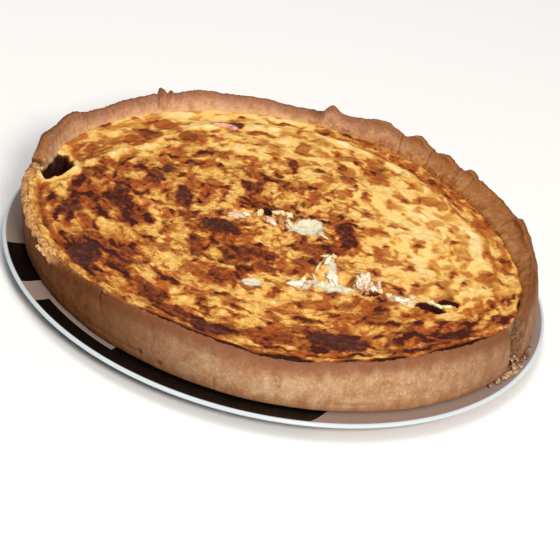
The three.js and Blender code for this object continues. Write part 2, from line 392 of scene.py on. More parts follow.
# %% Floor
FLOOR_REACH = 3.0  # metres to each side
corners = FLOOR_REACH * np.array([(-1, -1, 0), (1, -1, 0), (1, 1, 0), (-1, 1, 0)])
floor_mesh = bpy.data.meshes.new("floor")
floor_mesh.from_pydata(corners.tolist(), [], [(0, 1, 2, 3)])
floor = bpy.data.objects.new("floor", floor_mesh)
bpy.context.scene.collection.objects.link(floor)
dress(floor, Finish("floor_paint", base_color=paint("#F7F7F7"), roughness=0.9))

# %% [markdown]
# ## The pastry wall
# The wall is almost a cylinder, but it leans a little to the left, bulges half way up, and is thick at
# the floor and thin at the rim. A point of it follows from two numbers, the angle round the quiche and
# the height, plus how far in from the outer face it lies. The custard uses the same function, so it
# always meets the pastry.

# %% The form of the wall
# All in mm. A pair is one value along x, left to right, and one along y, front to back.
QUICHE = (0.8, 5.0)  # its middle on the plate
WALL_HEIGHT = 24.3
FOOT_RADIUS, FOOT_SHIFT = (128.2, 127.2), (1.6, -2.8)
RIM_RADIUS, RIM_SHIFT = (127.8, 128.5), (-2.6, -0.3)
WALL_AT_FOOT = 7.5
WALL_AT_RIM = {"back": 3.4, "front": 4.4, "left": 3.8}
BULGE = 0.7
SLUMP = 7.5  # how far the inner face slopes in at the right
SLUMP_WINDOW = (-30, 25, 35, 82)  # degrees: it begins, is full, begins to fade and has ended
SLUMP_FADES = (0.70, 1.04)  # shares of the wall's height between which it ends

# %% The rim's lobes and its break
# (from, peak, to) in degrees and how far the rim rises there in mm: sags, lobes and torn tips.
RIM_LOBES = [
    (4, 19.5, 24, 4.2),
    (25, 35, 42, 1),
    (36, 41, 47, 1.4),
    (41.5, 43.8, 46.5, 2.4),
    (47.5, 51.5, 56.5, 2.4),
    (56.5, 60.5, 65.5, 4.2),
    (65, 70, 80, 4.2),
    (81.5, 84, 87, 3.6),
    (80, 94, 104, -2.0),
    (110, 119, 125, 1.6),
    (124.8, 125.8, 126.8, 1.9),
    (126.7, 128.1, 129.7, 3.2),
    (136, 145, 153, -1.3),
    (151, 159, 170, 4.0),
    (161, 171.5, 176.5, 4.0),
    (173.5, 180.5, 205, -4.6),
    (184, 222, 237, -4.2),
    (240, 254, 262, 0.4),
    (260, 277, 294, -2.8),
    (293, 310, 327, 0.8),
    (318, 333, 345, -2.0),
    (336, 342, 347.5, -4.2),
]
BREAK_FROM, BREAK_TO = 333.8, 342.5
BREAK_CLEAN_CUT, BREAK_SLOPE = 1.0, 3.0  # degrees
BREAK_STUMP = 2.0  # mm high
print(len(RIM_LOBES), "lobes, and a break", round(BREAK_TO - BREAK_FROM, 1), "degrees wide")

# %% Height of the rim


def jitter(angle, seed):
    """Three sine waves round the ring, 5, 11 and 23 to the turn: a small unevenness that joins up."""
    a = np.radians(angle)
    waves = 0.5 * np.sin(5 * a + seed) + 0.3 * np.sin(11 * a + 2.3 * seed)
    return waves + 0.2 * np.sin(23 * a + 4.1 * seed)


def broken(angle):
    """0 in the whole wall, 1 where the piece has broken away."""
    return window(angle, BREAK_FROM, BREAK_FROM + BREAK_CLEAN_CUT, BREAK_TO - BREAK_SLOPE, BREAK_TO)


def rim_height(angle):
    """Even height plus the lobes plus jitter, and the low crumbly stump inside the break."""
    lobes = sum(rise * window(angle, start, peak, peak, end) for start, peak, end, rise in RIM_LOBES)
    whole = CRUST_FOOT + WALL_HEIGHT + lobes + 0.45 * jitter(angle, 1.7)
    stump = CRUST_FOOT + BREAK_STUMP + 0.8 * jitter(3 * angle, 0.6)
    return mix(whole, stump, broken(angle))


rim_at_right = float(rim_height(np.array(0.0)) - CRUST_FOOT)
print("the rim is", round(rim_at_right, 1), "mm above the crust's foot at the right")

# %% Points and thickness of the wall


def wall_xy(angle, z, inset):
    """A point of the wall: an ellipse whose radii and middle change from foot to rim with height,
    plus a bulge of half a sine wave, minus the inset."""
    share = (z - CRUST_FOOT) / WALL_HEIGHT
    level = np.clip(share, 0, 1)
    a = np.radians(angle)
    outward = BULGE * np.sin(np.pi * level) + 0.35 * jitter(angle, 3.1) - inset
    x = QUICHE[0] + mix(FOOT_SHIFT[0], RIM_SHIFT[0], share)
    y = QUICHE[1] + mix(FOOT_SHIFT[1], RIM_SHIFT[1], share)
    x = x + (mix(FOOT_RADIUS[0], RIM_RADIUS[0], level) + outward) * np.cos(a)
    y = y + (mix(FOOT_RADIUS[1], RIM_RADIUS[1], level) + outward) * np.sin(a)
    return x, y


def wall_thickness(angle, z):
    """Thick at the floor, thin at the rim and thinnest at the back. At the right the inner face slopes:
    the slump comes on top below the custard's level and fades to nothing at the rim."""
    a = np.radians(angle)
    share = (z - CRUST_FOOT) / WALL_HEIGHT
    slump = SLUMP * window(angle, *SLUMP_WINDOW) * (1 - smoothstep(share, *SLUMP_FADES))
    front_back = mix(WALL_AT_RIM["front"], WALL_AT_RIM["back"], 0.5 + 0.5 * np.sin(a))
    at_rim = front_back + (WALL_AT_RIM["left"] - front_back) * np.maximum(0, -np.cos(a)) ** 3
    return mix(WALL_AT_FOOT, at_rim, np.clip(share, 0, 1)) + slump


rim_around = rim_height(np.arange(0.0, 360.0, 90.0))
thickness_around = wall_thickness(np.arange(0.0, 360.0, 90.0), rim_around)
print("at the rim the wall is", thickness_around.round(1), "mm thick, every 90 degrees")

# %% [markdown]
# ## The level of the custard
# The filling rose in the oven and sank again, most along the wall at the back and the sides, where it
# left a moat inside a faint shoreline. At the front it laps against the rim, and at the left it baked
# onto it. The crust needs this level too, because the custard stained the pastry where it stood.

# %% Height of the even skin
# All in mm but for the slope.
LEVEL, SLOPE = 27.0, 0.012  # in the middle, and how much it rises for each mm to the front
MOAT = 2.2  # its depth
SHORE_WIDTH, SHORE_RISE, SHORE_UNEVEN = 2.6, 1.0, 0.7
FRONT_LAP, FRONT_LAP_WIDTH = 1.3, 13.0
LOWEST_LAP = 2.0  # the lap doesn't follow the rim further down than this
CREASE_INSET = 5.6  # where the custard bends up to the left rim
# Long low swells: direction in degrees, wavelength and height in mm, phase.
SWELLS = [(72, 31, 0.35, 0.4), (110, 47, 0.4, 2.1), (15, 66, 0.3, 4.4)]


def sunken(angle):
    """1 round the back and the sides, where the custard sank along the wall, and 0 at the front."""
    return window(angle, -28, 2, 178, 210)


def at_left_rim(angle):
    """1 where the custard climbed the rim at the left and baked onto it."""
    return window(angle, 176, 188, 218, 232)


def shore_inset(angle):
    """How far from the wall the shoreline runs: 19 mm, up to 31 at the back left, 15 at the left."""
    return 19 + 12 * bell(angle, 145, 26) - 4 * smoothstep(angle, 163, 178) + 1.6 * jitter(2 * angle, 0.9)


def shore_strength(angle):
    """The pale line fades out at the right, from 20 degrees down to 0."""
    return sunken(angle) * smoothstep((angle + 60) % 360, 60, 80)


def skin_height(angle, x, y, inset):
    """The level, a little higher at the front, less the moat, plus shoreline, front lap and swells."""
    sunk = sunken(angle)
    even = LEVEL - SLOPE * (y - QUICHE[1])
    shore = shore_inset(angle)
    sink = MOAT * (1 - smoothstep(inset, 0.4 * shore, 0.9 * shore))
    ridge = SHORE_RISE * bell(inset, shore, SHORE_WIDTH)
    lap_top = np.maximum(rim_height(angle), CRUST_FOOT + WALL_HEIGHT - LOWEST_LAP) - FRONT_LAP
    lap = np.maximum(0, lap_top - even) * (1 - smoothstep(inset, 0, FRONT_LAP_WIDTH))
    swell = 0.0
    for direction, length, height, phase in SWELLS:
        way = x * np.cos(np.radians(direction)) + y * np.sin(np.radians(direction))
        swell = swell + height * np.sin(2 * np.pi * way / length + phase)
    level = even - sunk * (sink - ridge) + (1 - sunk) * lap + swell * smoothstep(inset, 2, 12)
    level = level + SHORE_UNEVEN * sunk * layered(x, y, 0, 8, 313, 2) * (1 - smoothstep(inset, 1, 8))
    climb = at_left_rim(angle) * (1 - smoothstep(inset, 0.8, 4.6))
    level = mix(level, rim_height(angle) + 0.1, climb)
    return level - 1.0 * at_left_rim(angle) * bell(inset, CREASE_INSET, 1.3)


# %% [markdown]
# ## The crust
# Shortcrust pastry is rolled, pressed into the tin and baked until its edge is brown. Its outside is
# smooth and floury where the tin held it, with soft folds and a few cracks, and its torn rim is ragged.
# The mesh is a grid: round the quiche one way, and the other way from the plate up the outside, over
# the rim and down the inside. Noise then moves each point in or out by a fraction of a millimetre.

# %% Unevenness of the pastry
CRUST_STATIONS = 1440
LOW_SHARES = [0.0, 0.012, 0.03, 0.055]  # close rows round the bottom edge
OUTSIDE_ROWS, RIM_ROWS, INSIDE_ROWS = 23, 9, 14
INSIDE_DEPTH = 13.0  # how far down the inside the close rows reach
BOTTOM_EDGE = 1.3
STUMP_SETBACK = 3.6  # the broken face slopes back this far
RING = 128.0  # mm, the radius that turns an angle into a way along the wall

# Places where one torn lobe of the rim overlaps the next: angle, step in mm, degrees until it fades.
RIM_STEPS = [
    (24, 1.6, 6),
    (42, 1.3, 4),
    (46.5, -1.2, 3),
    (56.5, 1.8, 6),
    (65.5, 1.5, 5),
    (86, -1.4, 6),
    (129.7, 1.0, 4),
    (153, -1.0, 5),
    (236, 1.6, 7),
    (262, 0.7, 5),
]
NOTCH_ANGLE = 178.3  # a dark nick in the rim beside the hollow
CRACK_SOFT = 0.08  # share of the height over which a crack begins and ends
# Upright folds and cracks of the wall: angle, width in mm, depth in mm, lowest and highest share.
WALL_CRACKS = [
    (84.5, 0.5, 0.5, 0.8, 1.1),
    (128.3, 1.5, -1.5, 0.7, 1.3),
    (129.6, 0.7, 1.4, 0.7, 1.15),
    (126.4, 0.5, 0.9, 0.8, 1.2),
    (236, 0.8, 0.9, 0.6, 1.1),
    (221, 1.2, 0.5, 0.4, 1.0),
    (227, 1.6, 0.4, 0.5, 1.0),
    (215.5, 0.8, 0.5, 0.4, 0.95),
    (262.5, 0.7, 0.7, 0.0, 0.35),
    (249, 0.6, 0.5, 0.3, 0.8),
    (301, 0.6, 0.4, 0.1, 0.6),
    (60, 0.8, 0.4, 0.8, 1.1),
    (24, 0.8, 0.6, 0.7, 1.1),
    (153, 0.6, 0.5, 0.6, 1.1),
    (163, 0.6, 0.4, 0.6, 1.1),
    (NOTCH_ANGLE, 1.1, 1.8, 0.72, 1.3),
]
# Small holes in the outside: angle, height above the crust's foot, radius and depth in mm.
WALL_HOLES = [
    (246, 5, 1.1, 1.3),
    (250.5, 3.6, 1.3, 1.5),
    (284, 9, 0.7, 0.7),
    (226, 8, 0.9, 0.9),
    (310, 6, 0.6, 0.6),
]
print(len(RIM_STEPS), "steps,", len(WALL_CRACKS), "cracks and", len(WALL_HOLES), "holes")

# %% How far the pastry stands out


def rim_step(angle):
    """Sum of steps that rise at once and fade along the rim, so that lobes overlap like scales."""
    total = np.zeros_like(angle)
    for start, step, fades in RIM_STEPS:
        past = apart(angle, start)
        total += step * smoothstep(past, -0.3, 0.3) * np.exp(-np.maximum(past, 0) / fades)
    return total


def pastry_relief(angle, x, y, z, outside):
    """How far the pastry stands out: soft folds, blisters and grain, less seam, cracks and holes."""
    folds = 0.42 * layered(x, y, z / 3, 16, 101, 2) + 0.26 * layered(x, y, z / 1.5, 6, 111, 2)
    grain = 0.13 * layered(x, y, z, 2.6, 121, 2, 0.7)
    total = folds + grain
    share = (z - CRUST_FOOT) / WALL_HEIGHT
    seam_height = CRUST_FOOT + 4.4 + 0.8 * perlin(x / 30, y / 30, 0, 131)
    seam = smoothstep(perlin(x / 22, y / 22, 0, 141), -0.25, 0.2)
    total = total - np.where(outside, 0.7 * seam * bell(z, seam_height, 0.5), 0)
    for at, width, depth, low, high in WALL_CRACKS:
        wander = 1.2 * perlin(z / 4, at, 0, 151)
        away = np.radians(apart(angle, at)) * RING + wander
        reach = smoothstep(share, low - CRACK_SOFT, low + CRACK_SOFT)
        reach = reach * smoothstep(share, high + CRACK_SOFT, high - CRACK_SOFT)
        total = total - depth * reach * bell(away, 0, width)
    for at, height, radius, depth in WALL_HOLES:
        across = np.radians(apart(angle, at)) * RING
        gone = bell(np.hypot(across, (z - CRUST_FOOT - height) * 1.3), 0, radius)
        total = total - np.where(outside, depth * gone, 0)
    return total


# %% Noise along the rim
BOWL_DEPTH, BOWL_RADIUS = 40, 50


def ring_noise(angle, size, seed, octaves, fall=0.5):
    """Layered noise along a circle of the wall's size."""
    x, y = RING * np.cos(np.radians(angle)), RING * np.sin(np.radians(angle))
    return layered(x, y, 0, size, seed, octaves, fall)


def along_rim(x, y):
    """The plane laid on a bowl: (sqrt(r^2 + depth^2), radius x / that, radius y / that). Ways along the
    rim shrink on it to half, so noise taken from the bowl comes out drawn out along the rim."""
    x, y = x - QUICHE[0], y - QUICHE[1]
    away = np.hypot(np.hypot(x, y), BOWL_DEPTH)
    return away, BOWL_RADIUS * x / away, BOWL_RADIUS * y / away


# %% Rows of the crust


def crust_rows(angle, rim, gone):
    """From the plate up the outside, over the rim and down the inside to the floor. Gives for each point
    its height, how far in from the outer face it lies, and 0 on the outside to 1 on the inside."""
    uneven = 1 + 0.22 * (1 - gone) * ring_noise(angle, 11, 181, 2)
    at_rim = wall_thickness(angle, rim) * uneven
    rolled = smoothstep(-np.sin(np.radians(angle - 12)), -0.25, 0.35) * (1 - gone)
    shoulder = mix(np.minimum(0.32 * at_rim, 1.1), 3.0, rolled)
    floor_top = CRUST_FOOT + CRUST_FLOOR
    rows, kinds = [], []
    for share in [*LOW_SHARES, *np.linspace(0.085, 1, OUTSIDE_ROWS)]:
        z = mix(CRUST_FOOT, rim - shoulder, share)
        rounding = 2 * BOTTOM_EDGE * (1 - smoothstep(z - CRUST_FOOT, -0.6, BOTTOM_EDGE)) ** 2
        rows.append((z, rounding + 0.3 * share**2 + STUMP_SETBACK * gone * share**0.5))
        kinds.append(0.0)
    for turn in np.linspace(0, np.pi, RIM_ROWS + 2)[1:-1]:
        over = 0.5 - 0.5 * np.cos(turn)
        z = rim - shoulder + shoulder * np.sin(turn)
        rows.append((z, mix(0.3 + STUMP_SETBACK * gone, at_rim, over)))
        kinds.append(over)
    inner_low = np.minimum(np.maximum(rim - INSIDE_DEPTH, floor_top + 0.8), rim - shoulder - 0.4)
    for share in np.linspace(0, 1, INSIDE_ROWS):
        z = mix(rim - shoulder, inner_low, share)
        rows.append((z, wall_thickness(angle, z) * mix(uneven, 1, smoothstep(rim - z, 0, 6))))
        kinds.append(1.0)
    rows.append((mix(inner_low, floor_top, 0.5), wall_thickness(angle, floor_top)))
    rows.append((floor_top + 0 * angle, wall_thickness(angle, floor_top) + 1))
    kinds += [1.0, 1.0]
    z, inset = (np.stack([row[part] + 0 * angle for row in rows]) for part in (0, 1))
    return z, inset, np.repeat(np.array(kinds)[:, None], len(angle), 1)


# %% Relief of the crust


def crust_push(turn, x, y, z, inner, gone):
    """How far each point moves outwards, and the relief alone: folds and cracks, the rim's steps, the
    crumbly break, and beside the hollow the flap of wall that leans in."""
    share = (z - CRUST_FOOT) / WALL_HEIGHT
    step = rim_step(turn) * smoothstep(share, 0.55, 1.0)
    relief = pastry_relief(turn, x, y, z, inner < 0.3) + step
    rough = layered(x, y, z, 3.2, 191, 3, 0.65)
    relief += 0.9 * gone * rough * smoothstep(z, CRUST_FOOT + 2, CRUST_FOOT + 6)
    settled = smoothstep(z, CRUST_FOOT - 0.2, CRUST_FOOT + 1.5)
    facing = mix(1.0, -1.0, inner)  # inside the wall, standing out means towards the middle
    push = relief * settled * np.where(np.abs(facing) < 0.6, 0.3 * np.sign(facing), facing)
    flap = bell(turn, 172, 7) * smoothstep(z, 20, 25) * (2.4 + 0.5 * np.sin(1.9 * turn))
    push = push - flap * smoothstep(inner, 0.4, 1.0)
    return np.where(inner > 0.3, push + 2 * step * inner, push), relief


# %% Marks on the crust


def crust_marks(turn, x, y, z, inner, baked_on):
    """Where the inside is browned, the outside darkened at the left and the right as painted shade, the
    wall stained by the custard, and the hollow darkened as painted shade.
    """
    # On the outside at the left and the right this darkening is painted shade; on the inside at the right
    # it is browned pastry.
    at_left = window(turn, 140, 175, 228, 276)
    at_right = 0.45 * smoothstep(turn, 300, 334)
    browning = np.maximum(at_left, at_right) * (1 - 0.8 * inner) * (1 - 0.75 * baked_on)
    browning += 0.9 * inner * window(turn, -25, -10, 48, 88)
    above = z - skin_height(turn, x, y, np.zeros_like(x)) + 1.5 * layered(x, y, z, 6, 209, 3, 0.6)
    on_right = window(turn, -70, -40, 75, 100)
    on_inside = smoothstep(inner, 0.5, 1)
    beside_hollow = window(turn, 158, 160, 180, 182)
    return {
        "stained": on_inside * on_right * (1 - smoothstep(above, 0.8, 5.5)),
        "residue": on_inside * (1 - on_right) * (1 - smoothstep(above, 0.9, 1.9)),
        "browning": browning,
        "scorched": beside_hollow * inner * (1 - smoothstep(z, 22.0, 25.5)),
    }


# %% The crust as one solid


def crust_points():
    """Grid of points (rows, stations, 3) and the grid of attributes that belongs to it."""
    angle = np.arange(CRUST_STATIONS) * 360 / CRUST_STATIONS
    gone = broken(angle)
    rim = rim_height(angle) + 0.42 * ring_noise(angle, 5, 161, 3, 0.6)
    rim = rim + 1.1 * gone * ring_noise(angle, 4, 171, 2)
    z, inset, inner = crust_rows(angle, rim, gone)
    turn = np.repeat(angle[None, :], len(z), 0)
    x, y = wall_xy(turn, z, inset)
    share = (z - CRUST_FOOT) / WALL_HEIGHT
    push, relief = crust_push(turn, x, y, z, inner, gone)
    x, y = pushed(x, y, turn, push)
    at_top = np.abs(inner - 0.5) < 0.49
    z = z + np.where(at_top, 0.35 * perlin(x / 1.7, y / 1.7, z / 1.7, 201), 0)
    steep = np.abs(np.gradient(rim, RING * np.radians(360 / CRUST_STATIONS)))
    torn = np.clip(gone + smoothstep(steep, 0.9, 2.0) * smoothstep(share, 0.15, 0.3), 0, 1)
    torn = torn * smoothstep(rim - z, 14, 2)
    drips = 2.0 * ring_noise(angle, 7, 205, 3, 0.6)
    baked_on = window(turn, 172, 184, 217, 223) * smoothstep(z, rim - 4.6 + drips, rim - 2.4 + drips)
    away, bowl_x, bowl_y = along_rim(x, y)
    crusty = baked_on * layered(away + z, bowl_x, bowl_y, 2.4, 207, 3, 0.6)
    x, y = pushed(x, y, turn, 0.6 * crusty + baked_on * (1 - inner))
    z = z + 0.5 * crusty
    marks = crust_marks(turn, x, y, z, inner, baked_on)
    # The notch and the inside beside the hollow are darkened as painted shade.
    notch = bell(turn, NOTCH_ANGLE, 0.9) * bell(z, rim - 1.0, 2.4)
    marks["scorched"] = np.maximum(marks["scorched"], 0.7 * smoothstep(notch, 0.3, 0.8))
    attributes = marks | {
        "baked_on": baked_on,
        "below_rim": np.clip((rim - z) / 10, 0, 2),
        "inner": inner,
        "torn": torn,
        "height": share,
        # Painted shade in the cracks, folds and holes of the pastry.
        "hollowness": smoothstep(-relief, 0.4, 1.3),
    }
    return np.stack([x, y, z], -1), attributes


crust_grid, crust_attributes = crust_points()
crust_middle = (QUICHE[0], QUICHE[1] + FOOT_SHIFT[1])
crust_ends = [(*crust_middle, CRUST_FOOT), (*crust_middle, CRUST_FOOT + CRUST_FLOOR)]
crust_values = {key: np.append(values.ravel(), [0, 0]) for key, values in crust_attributes.items()}
crust = make_piece("pastry_crust", *close_rings(crust_grid, crust_ends), "crust", crust_values)
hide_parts("crust")

# %% [markdown]
# ### Baked pastry
# The colour of pastry is butter and flour: a pale tan where the tin kept it from the air, brown along the
# rim and on the inside, and dusty all over. Painted shade darkens the outside at the left and the right,
# the cracks and folds, the notch, the hollow and the break. The material mixes those by the attributes
# stored on the mesh, and breaks every border up with noise.

# %% Pastry material


def pastry_finish():
    finish = Finish("baked_pastry", roughness=0.85, specular_ior_level=0.12)
    broad = finish.noise(22, 3, 0.6)
    cloudy = finish.noise(5.5, 3, 0.65, (1, 1, 0.85))
    grainy = finish.noise(1.6, 3, 0.7)
    dusty = finish.noise(1.0, 2, 0.6)
    mottled = cloudy * 0.6 + grainy * 0.4
    below, inner, height, torn = finish.attributes("below_rim inner height torn")
    browning, stained, residue, baked_on = finish.attributes("browning stained residue baked_on")
    scorched, hollowness = finish.attributes("scorched hollowness")
    tan = finish.blend("#A87C58", "#BB9673", (cloudy * 0.7 + broad * 0.5).step(0.42, 0.85))
    inside = finish.blend("#D8AB8A", "#B78562", mottled.step(0.4, 0.62))
    # Dark olive-brown on the outside is painted shade at the left and the right; golden brown on the inside
    # is browned pastry.
    baked = finish.blend("#5F300A", "#9A5F28", inner.step(0.4, 0.8))
    stain = finish.blend("#C58A48", "#84461A", mottled.step(0.44, 0.58))
    custardy = finish.blend("#94592B", "#D19C62", (grainy * 0.5 + cloudy * 0.5).step(0.40, 0.56))
    custardy = finish.blend(custardy, "#F0D3A0", (grainy * 0.5 + dusty * 0.5).step(0.54, 0.68) * 0.7)
    # Torn pastry: its own crumbly colour, darkened as painted shadow at the break.
    crumbly = finish.blend("#65442F", "#8A684E", (grainy * 0.7 + dusty * 0.3).step(0.4, 0.62))
    veins = ((finish.noise(7, 2, 0.6) - 0.5) ** 2).step(0.0006, 0.0) * dusty.step(0.4, 0.6)
    colour = finish.coats(
        tan,
        ("#976441", (grainy * 0.6 + cloudy * 0.6).step(0.62, 0.42) * 0.6),
        ("#E0C3A2", (dusty * 0.4 + grainy * 0.45 + cloudy * 0.25).step(0.56, 0.70) * 0.42),
        (inside, inner.step(0.35, 0.8)),
        ("#835036", (below + cloudy * 0.4 - 0.2 + inner * 0.2).step(0.85, 0.05) * 0.92),
        ("#8E5C3A", (height + cloudy * 0.2).step(0.40, 0.08) * 0.75),
        (baked, browning * (cloudy * 0.7 + grainy * 0.3 + 0.4)),
        (stain, stained * 0.65),
        ("#D6B684", residue * 0.7),
        (custardy, baked_on),
        # Painted shade in the hollow and the notch.
        ("#30160C", scorched),
        (crumbly, torn),
        # Painted shade in the pastry's cracks, folds and holes.
        ("#4A2813", hollowness * 0.6),
        ("#E2C3A6", veins * inner * (0.22 - scorched * 0.22)),
    )
    finish.feed("Base Color", colour)
    finish.bump(grainy * 0.6 + dusty * 0.4, 0.5)
    return finish


dress(crust, pastry_finish())

# %% [markdown]
# ## The custard
# The filling is eggs, cream and bits of ham and cheese, set in the oven. Its skin is a disc that
# reaches the pastry everywhere. A square grid is bent into that disc, ring by ring, so that no point
# is a pole and all its cells have nearly one size. Each point then gets its height: the even level,
# the moat along the wall, swells, wrinkles, blisters, and the places where the skin tore open.

# %% A square grid bent into a disc
SKIN_SIDE = 297  # points along each side of the square


def disc_grid(side):
    """Concentric map: squares round the middle become circles. Returns the angle in degrees and the
    share of the way to the edge for each point of the grid."""
    across = np.linspace(-1, 1, side)
    u, v = np.meshgrid(across, across)
    wide = np.abs(u) > np.abs(v)
    share = np.maximum(np.abs(u), np.abs(v))
    with np.errstate(divide="ignore", invalid="ignore"):
        sideways = 45 * v / u + np.where(u < 0, 180, 0)
        upright = 90 - 45 * u / v + np.where(v < 0, 180, 0)
    angle = np.where(wide, sideways, upright)
    return np.nan_to_num(angle) % 360, share


# %% Where the skin tore and where it scorched
# Pits: x, y, length, width, depth in mm and turn in degrees.
PITS = {
    "middle tear": (9.5, 5, 17, 17, 2.2, 20),
    "middle hole": (-10.2, 12.6, 7.5, 7, 5, 0),
    # This pit is darkened as the lump's painted shadow.
    "hole under the lump": (45.5, -46.8, 9, 3, 3, 16),
    "front tear": (27, -39, 28, 13, 2.6, -18),
    "right hole": (75.5, -45, 13, 7, 5, 8),
    "far right hole": (83.5, -37.2, 10, 6, 4, 24),
}
# Torn or pale places, where the inside shows: x, y, length, width in mm, turn, strength.
PALE_PLACES = [
    (6, 3.5, 12, 14, 0, 1.0),
    (12, 7.5, 13, 15, 10, 1.0),
    (15.5, 1.5, 8, 9, 20, 0.9),
    (25, -25, 6, 17, 12, 0.9),
    (28.5, -45, 20, 12, -4, 1.0),
    (13, -50, 13, 7, 30, 0.9),
    (43, -37, 7, 13, 8, 0.9),
    (58, -45, 8, 5, 20, 0.5),
    (63, -44.5, 12, 6, 10, 0.7),
    (-9, -60.5, 9.5, 6, 12, 1.0),
    (-24, 2, 9, 4, 20, 0.7),
]
print(len(PITS), "pits and", len(PALE_PLACES), "pale places")

# %% Scorched spots
# Each: x, y, half length, half width in mm, turn, strength.
SCORCHES = [
    (-105, 38, 2.8, 8.5, 0, 0.75),
    (-111, 31, 3.6, 4, 0, 0.65),
    (-89, 59, 4.2, 6, 0, 0.72),
    (-80.5, 67, 4.2, 6.8, 0, 0.9),
    (-74, 86, 5.6, 7, 0, 0.7),
    (-59.5, 73, 5.2, 6.4, 0, 0.82),
    (-38, 101, 5.4, 5, 0, 1.05),
    (-40, 62, 4.6, 4, 0, 0.72),
    (-64, 33, 3.2, 5, 0, 0.95),
    (-68, 21, 4.2, 8, 0, 0.9),
    (-52, 9, 4.2, 10.6, 12, 1),
    (-48, -10, 4, 6, 0, 0.85),
    (-31, -15, 9, 8.7, 0, 1.05),
    (-39, -38, 3.6, 8.7, 0, 0.85),
    (-99, 11, 4.6, 4.8, 0, 0.7),
    (-96, -9, 5.6, 8.7, 0, 0.82),
    (-82, -6, 5.6, 9.6, 0, 1),
    (-73, -21, 5, 13, 0, 0.88),
    (-102, -28, 5.6, 10.6, 0, 0.92),
    (-87, -68, 7.5, 11.5, 0, 1.08),
    (-69, -56, 5.4, 5.8, 0, 0.85),
    (-71, -68, 5.4, 5.8, 0, 0.88),
    (-19, -36, 8, 7.7, 0, 0.85),
    (-20, -45, 6, 4, 0, 0.7),
    (-42, 21, 4.6, 4.8, 0, 0.75),
    (-14, 47, 12, 5, -5, 0.8),
    (-20, 35, 5, 6, 0, 0.85),
    (0, 90, 3.5, 5, 0, 0.65),
    (26, 90, 5, 2, 0, 0.6),
    (41, 82, 4.6, 5, 0, 0.62),
    (26, 66, 4.4, 3.2, 0, 0.75),
    (69, 64, 5.5, 5, 0, 0.6),
    (76, 60, 3.5, 4, 0, 0.55),
    (45, 17, 6, 3, 0, 0.6),
    (74, 42, 4, 2.5, 0, 0.42),
    (31, 120, 3, 3, 0, 0.6),
    (42, 108, 2.5, 3, 0, 0.55),
    (50, 109, 2.5, 2.5, 0, 0.6),
    (57, 102, 3, 4, 0, 0.66),
    (67, 99, 2.5, 3, 0, 0.6),
    (75, 91, 4, 4, 0, 0.62),
    (82, 88, 3, 3, 0, 0.6),
    (90, 73, 4, 3, 0, 0.52),
    (95, 70, 3, 3, 0, 0.5),
    (103, 50, 4.5, 6.5, 0, 0.6),
    (107, 61, 2, 3, 0, 0.5),
    (110, 36, 2, 2.5, 0, 0.5),
    (102, 22, 2.5, 3, 0, 0.55),
    (88, 15, 4, 7.5, 0, 0.45),
    (50, -2, 3, 5, 0, 0.5),
    (38, 39, 1.5, 1.5, 0, 0.6),
    (101, -6, 6, 5, 0, 0.55),
    (24, 22, 5, 6, 0, 0.7),
    (29, 11, 5.5, 8, 0, 1),
    (32, -1, 4.5, 8, 0, 1.05),
    (26, -11, 6, 4, 30, 0.9),
    (14, -13, 7, 5, 10, 0.8),
    (-13, 17, 8, 5, 0, 0.9),
    (-11, -31, 10, 5, 5, 0.95),
    (15, -28, 5, 5, 0, 0.75),
    (-5, -43, 7, 4, 0, 0.85),
    (9, -41, 5, 4, 0, 0.65),
    (-24, -61, 8, 7, -30, 0.85),
    (-88, -50, 7, 5, 0, 0.8),
    (-52, -88, 8, 6, -20, 0.9),
    (-40, -98, 10, 5.5, -20, 0.9),
    (-25, -107, 9, 4, -10, 1),
    (4, -104, 16, 4, 5, 0.8),
    (35, -95, 14, 8, 15, 1.05),
    (50, -60, 8, 8, 0, 0.72),
    (66, -85, 6, 4, 20, 0.6),
    (87, -69, 7, 13, -35, 0.78),
]
print(len(SCORCHES), "scorched spots")

# %% Where the custard has come away
# From the rim at the front: from and to in degrees, how wide, 0 to 1.
CREVICES = [
    (238, 262, 0.3),
    (252, 276, 0.45),
    (270, 285, 1.0),
    (284, 297, 0.3),
    (293, 306, 0.6),
    (304, 333, 0.7),
    (342, 353, 0.3),
]
# The corner that pulled away from the pastry: its outline, and the level of its bottom.
HOLLOW = [(-121.5, 25), (-116, 27.5), (-111.5, 20.5), (-109, 9.5), (-112.5, 2), (-119, -1.5), (-123, 4)]
HOLLOW_BOTTOM = 15.0

# %% Ovals and outlines


def oval(x, y, at_x, at_y, half_length, half_width, turn):
    """How far out a point is in an oval: 0 at its middle, 1 on its edge."""
    a = np.radians(turn)
    along = (x - at_x) * np.cos(a) + (y - at_y) * np.sin(a)
    across = (y - at_y) * np.cos(a) - (x - at_x) * np.sin(a)
    return np.hypot(along / half_length, across / half_width)


def inside_outline(x, y, outline):
    """Distance in from the nearest side of a convex outline whose corners run clockwise."""
    corners = np.array(outline, float)
    nearest = np.full_like(x, np.inf)
    for corner, following in zip(corners, np.roll(corners, -1, axis=0)):
        way = (following - corner) / np.linalg.norm(following - corner)
        nearest = np.minimum(nearest, (x - corner[0]) * way[1] - (y - corner[1]) * way[0])
    return nearest


# %% How brown the skin is


def scorch(x, y):
    """The scorch spots: 1 inside each, with ragged edges, and a halo that fades round it."""
    ragged = 0.26 * layered(x, y, 0, 5, 255, 2, 0.5)
    core, halo = np.zeros_like(x), np.zeros_like(x)
    for at_x, at_y, half_length, half_width, turn, strength in SCORCHES:
        away = oval(x, y, at_x, at_y, half_length, half_width, turn) + ragged
        core = np.maximum(core, strength * (1 - smoothstep(away, 0.85, 1.3)))
        halo = np.maximum(halo, strength * (1 - smoothstep(away, 1.0, 2.1)))
    return core, halo


# Warmer and cooler fields: x and y of the middle, reach along x and y in mm, how much warmer.
WARM_FIELDS = [(12, 12, 26, 34, 0.32), (68, 36, 44, 42, -0.38), (70, -72, 34, 24, 0.62)]


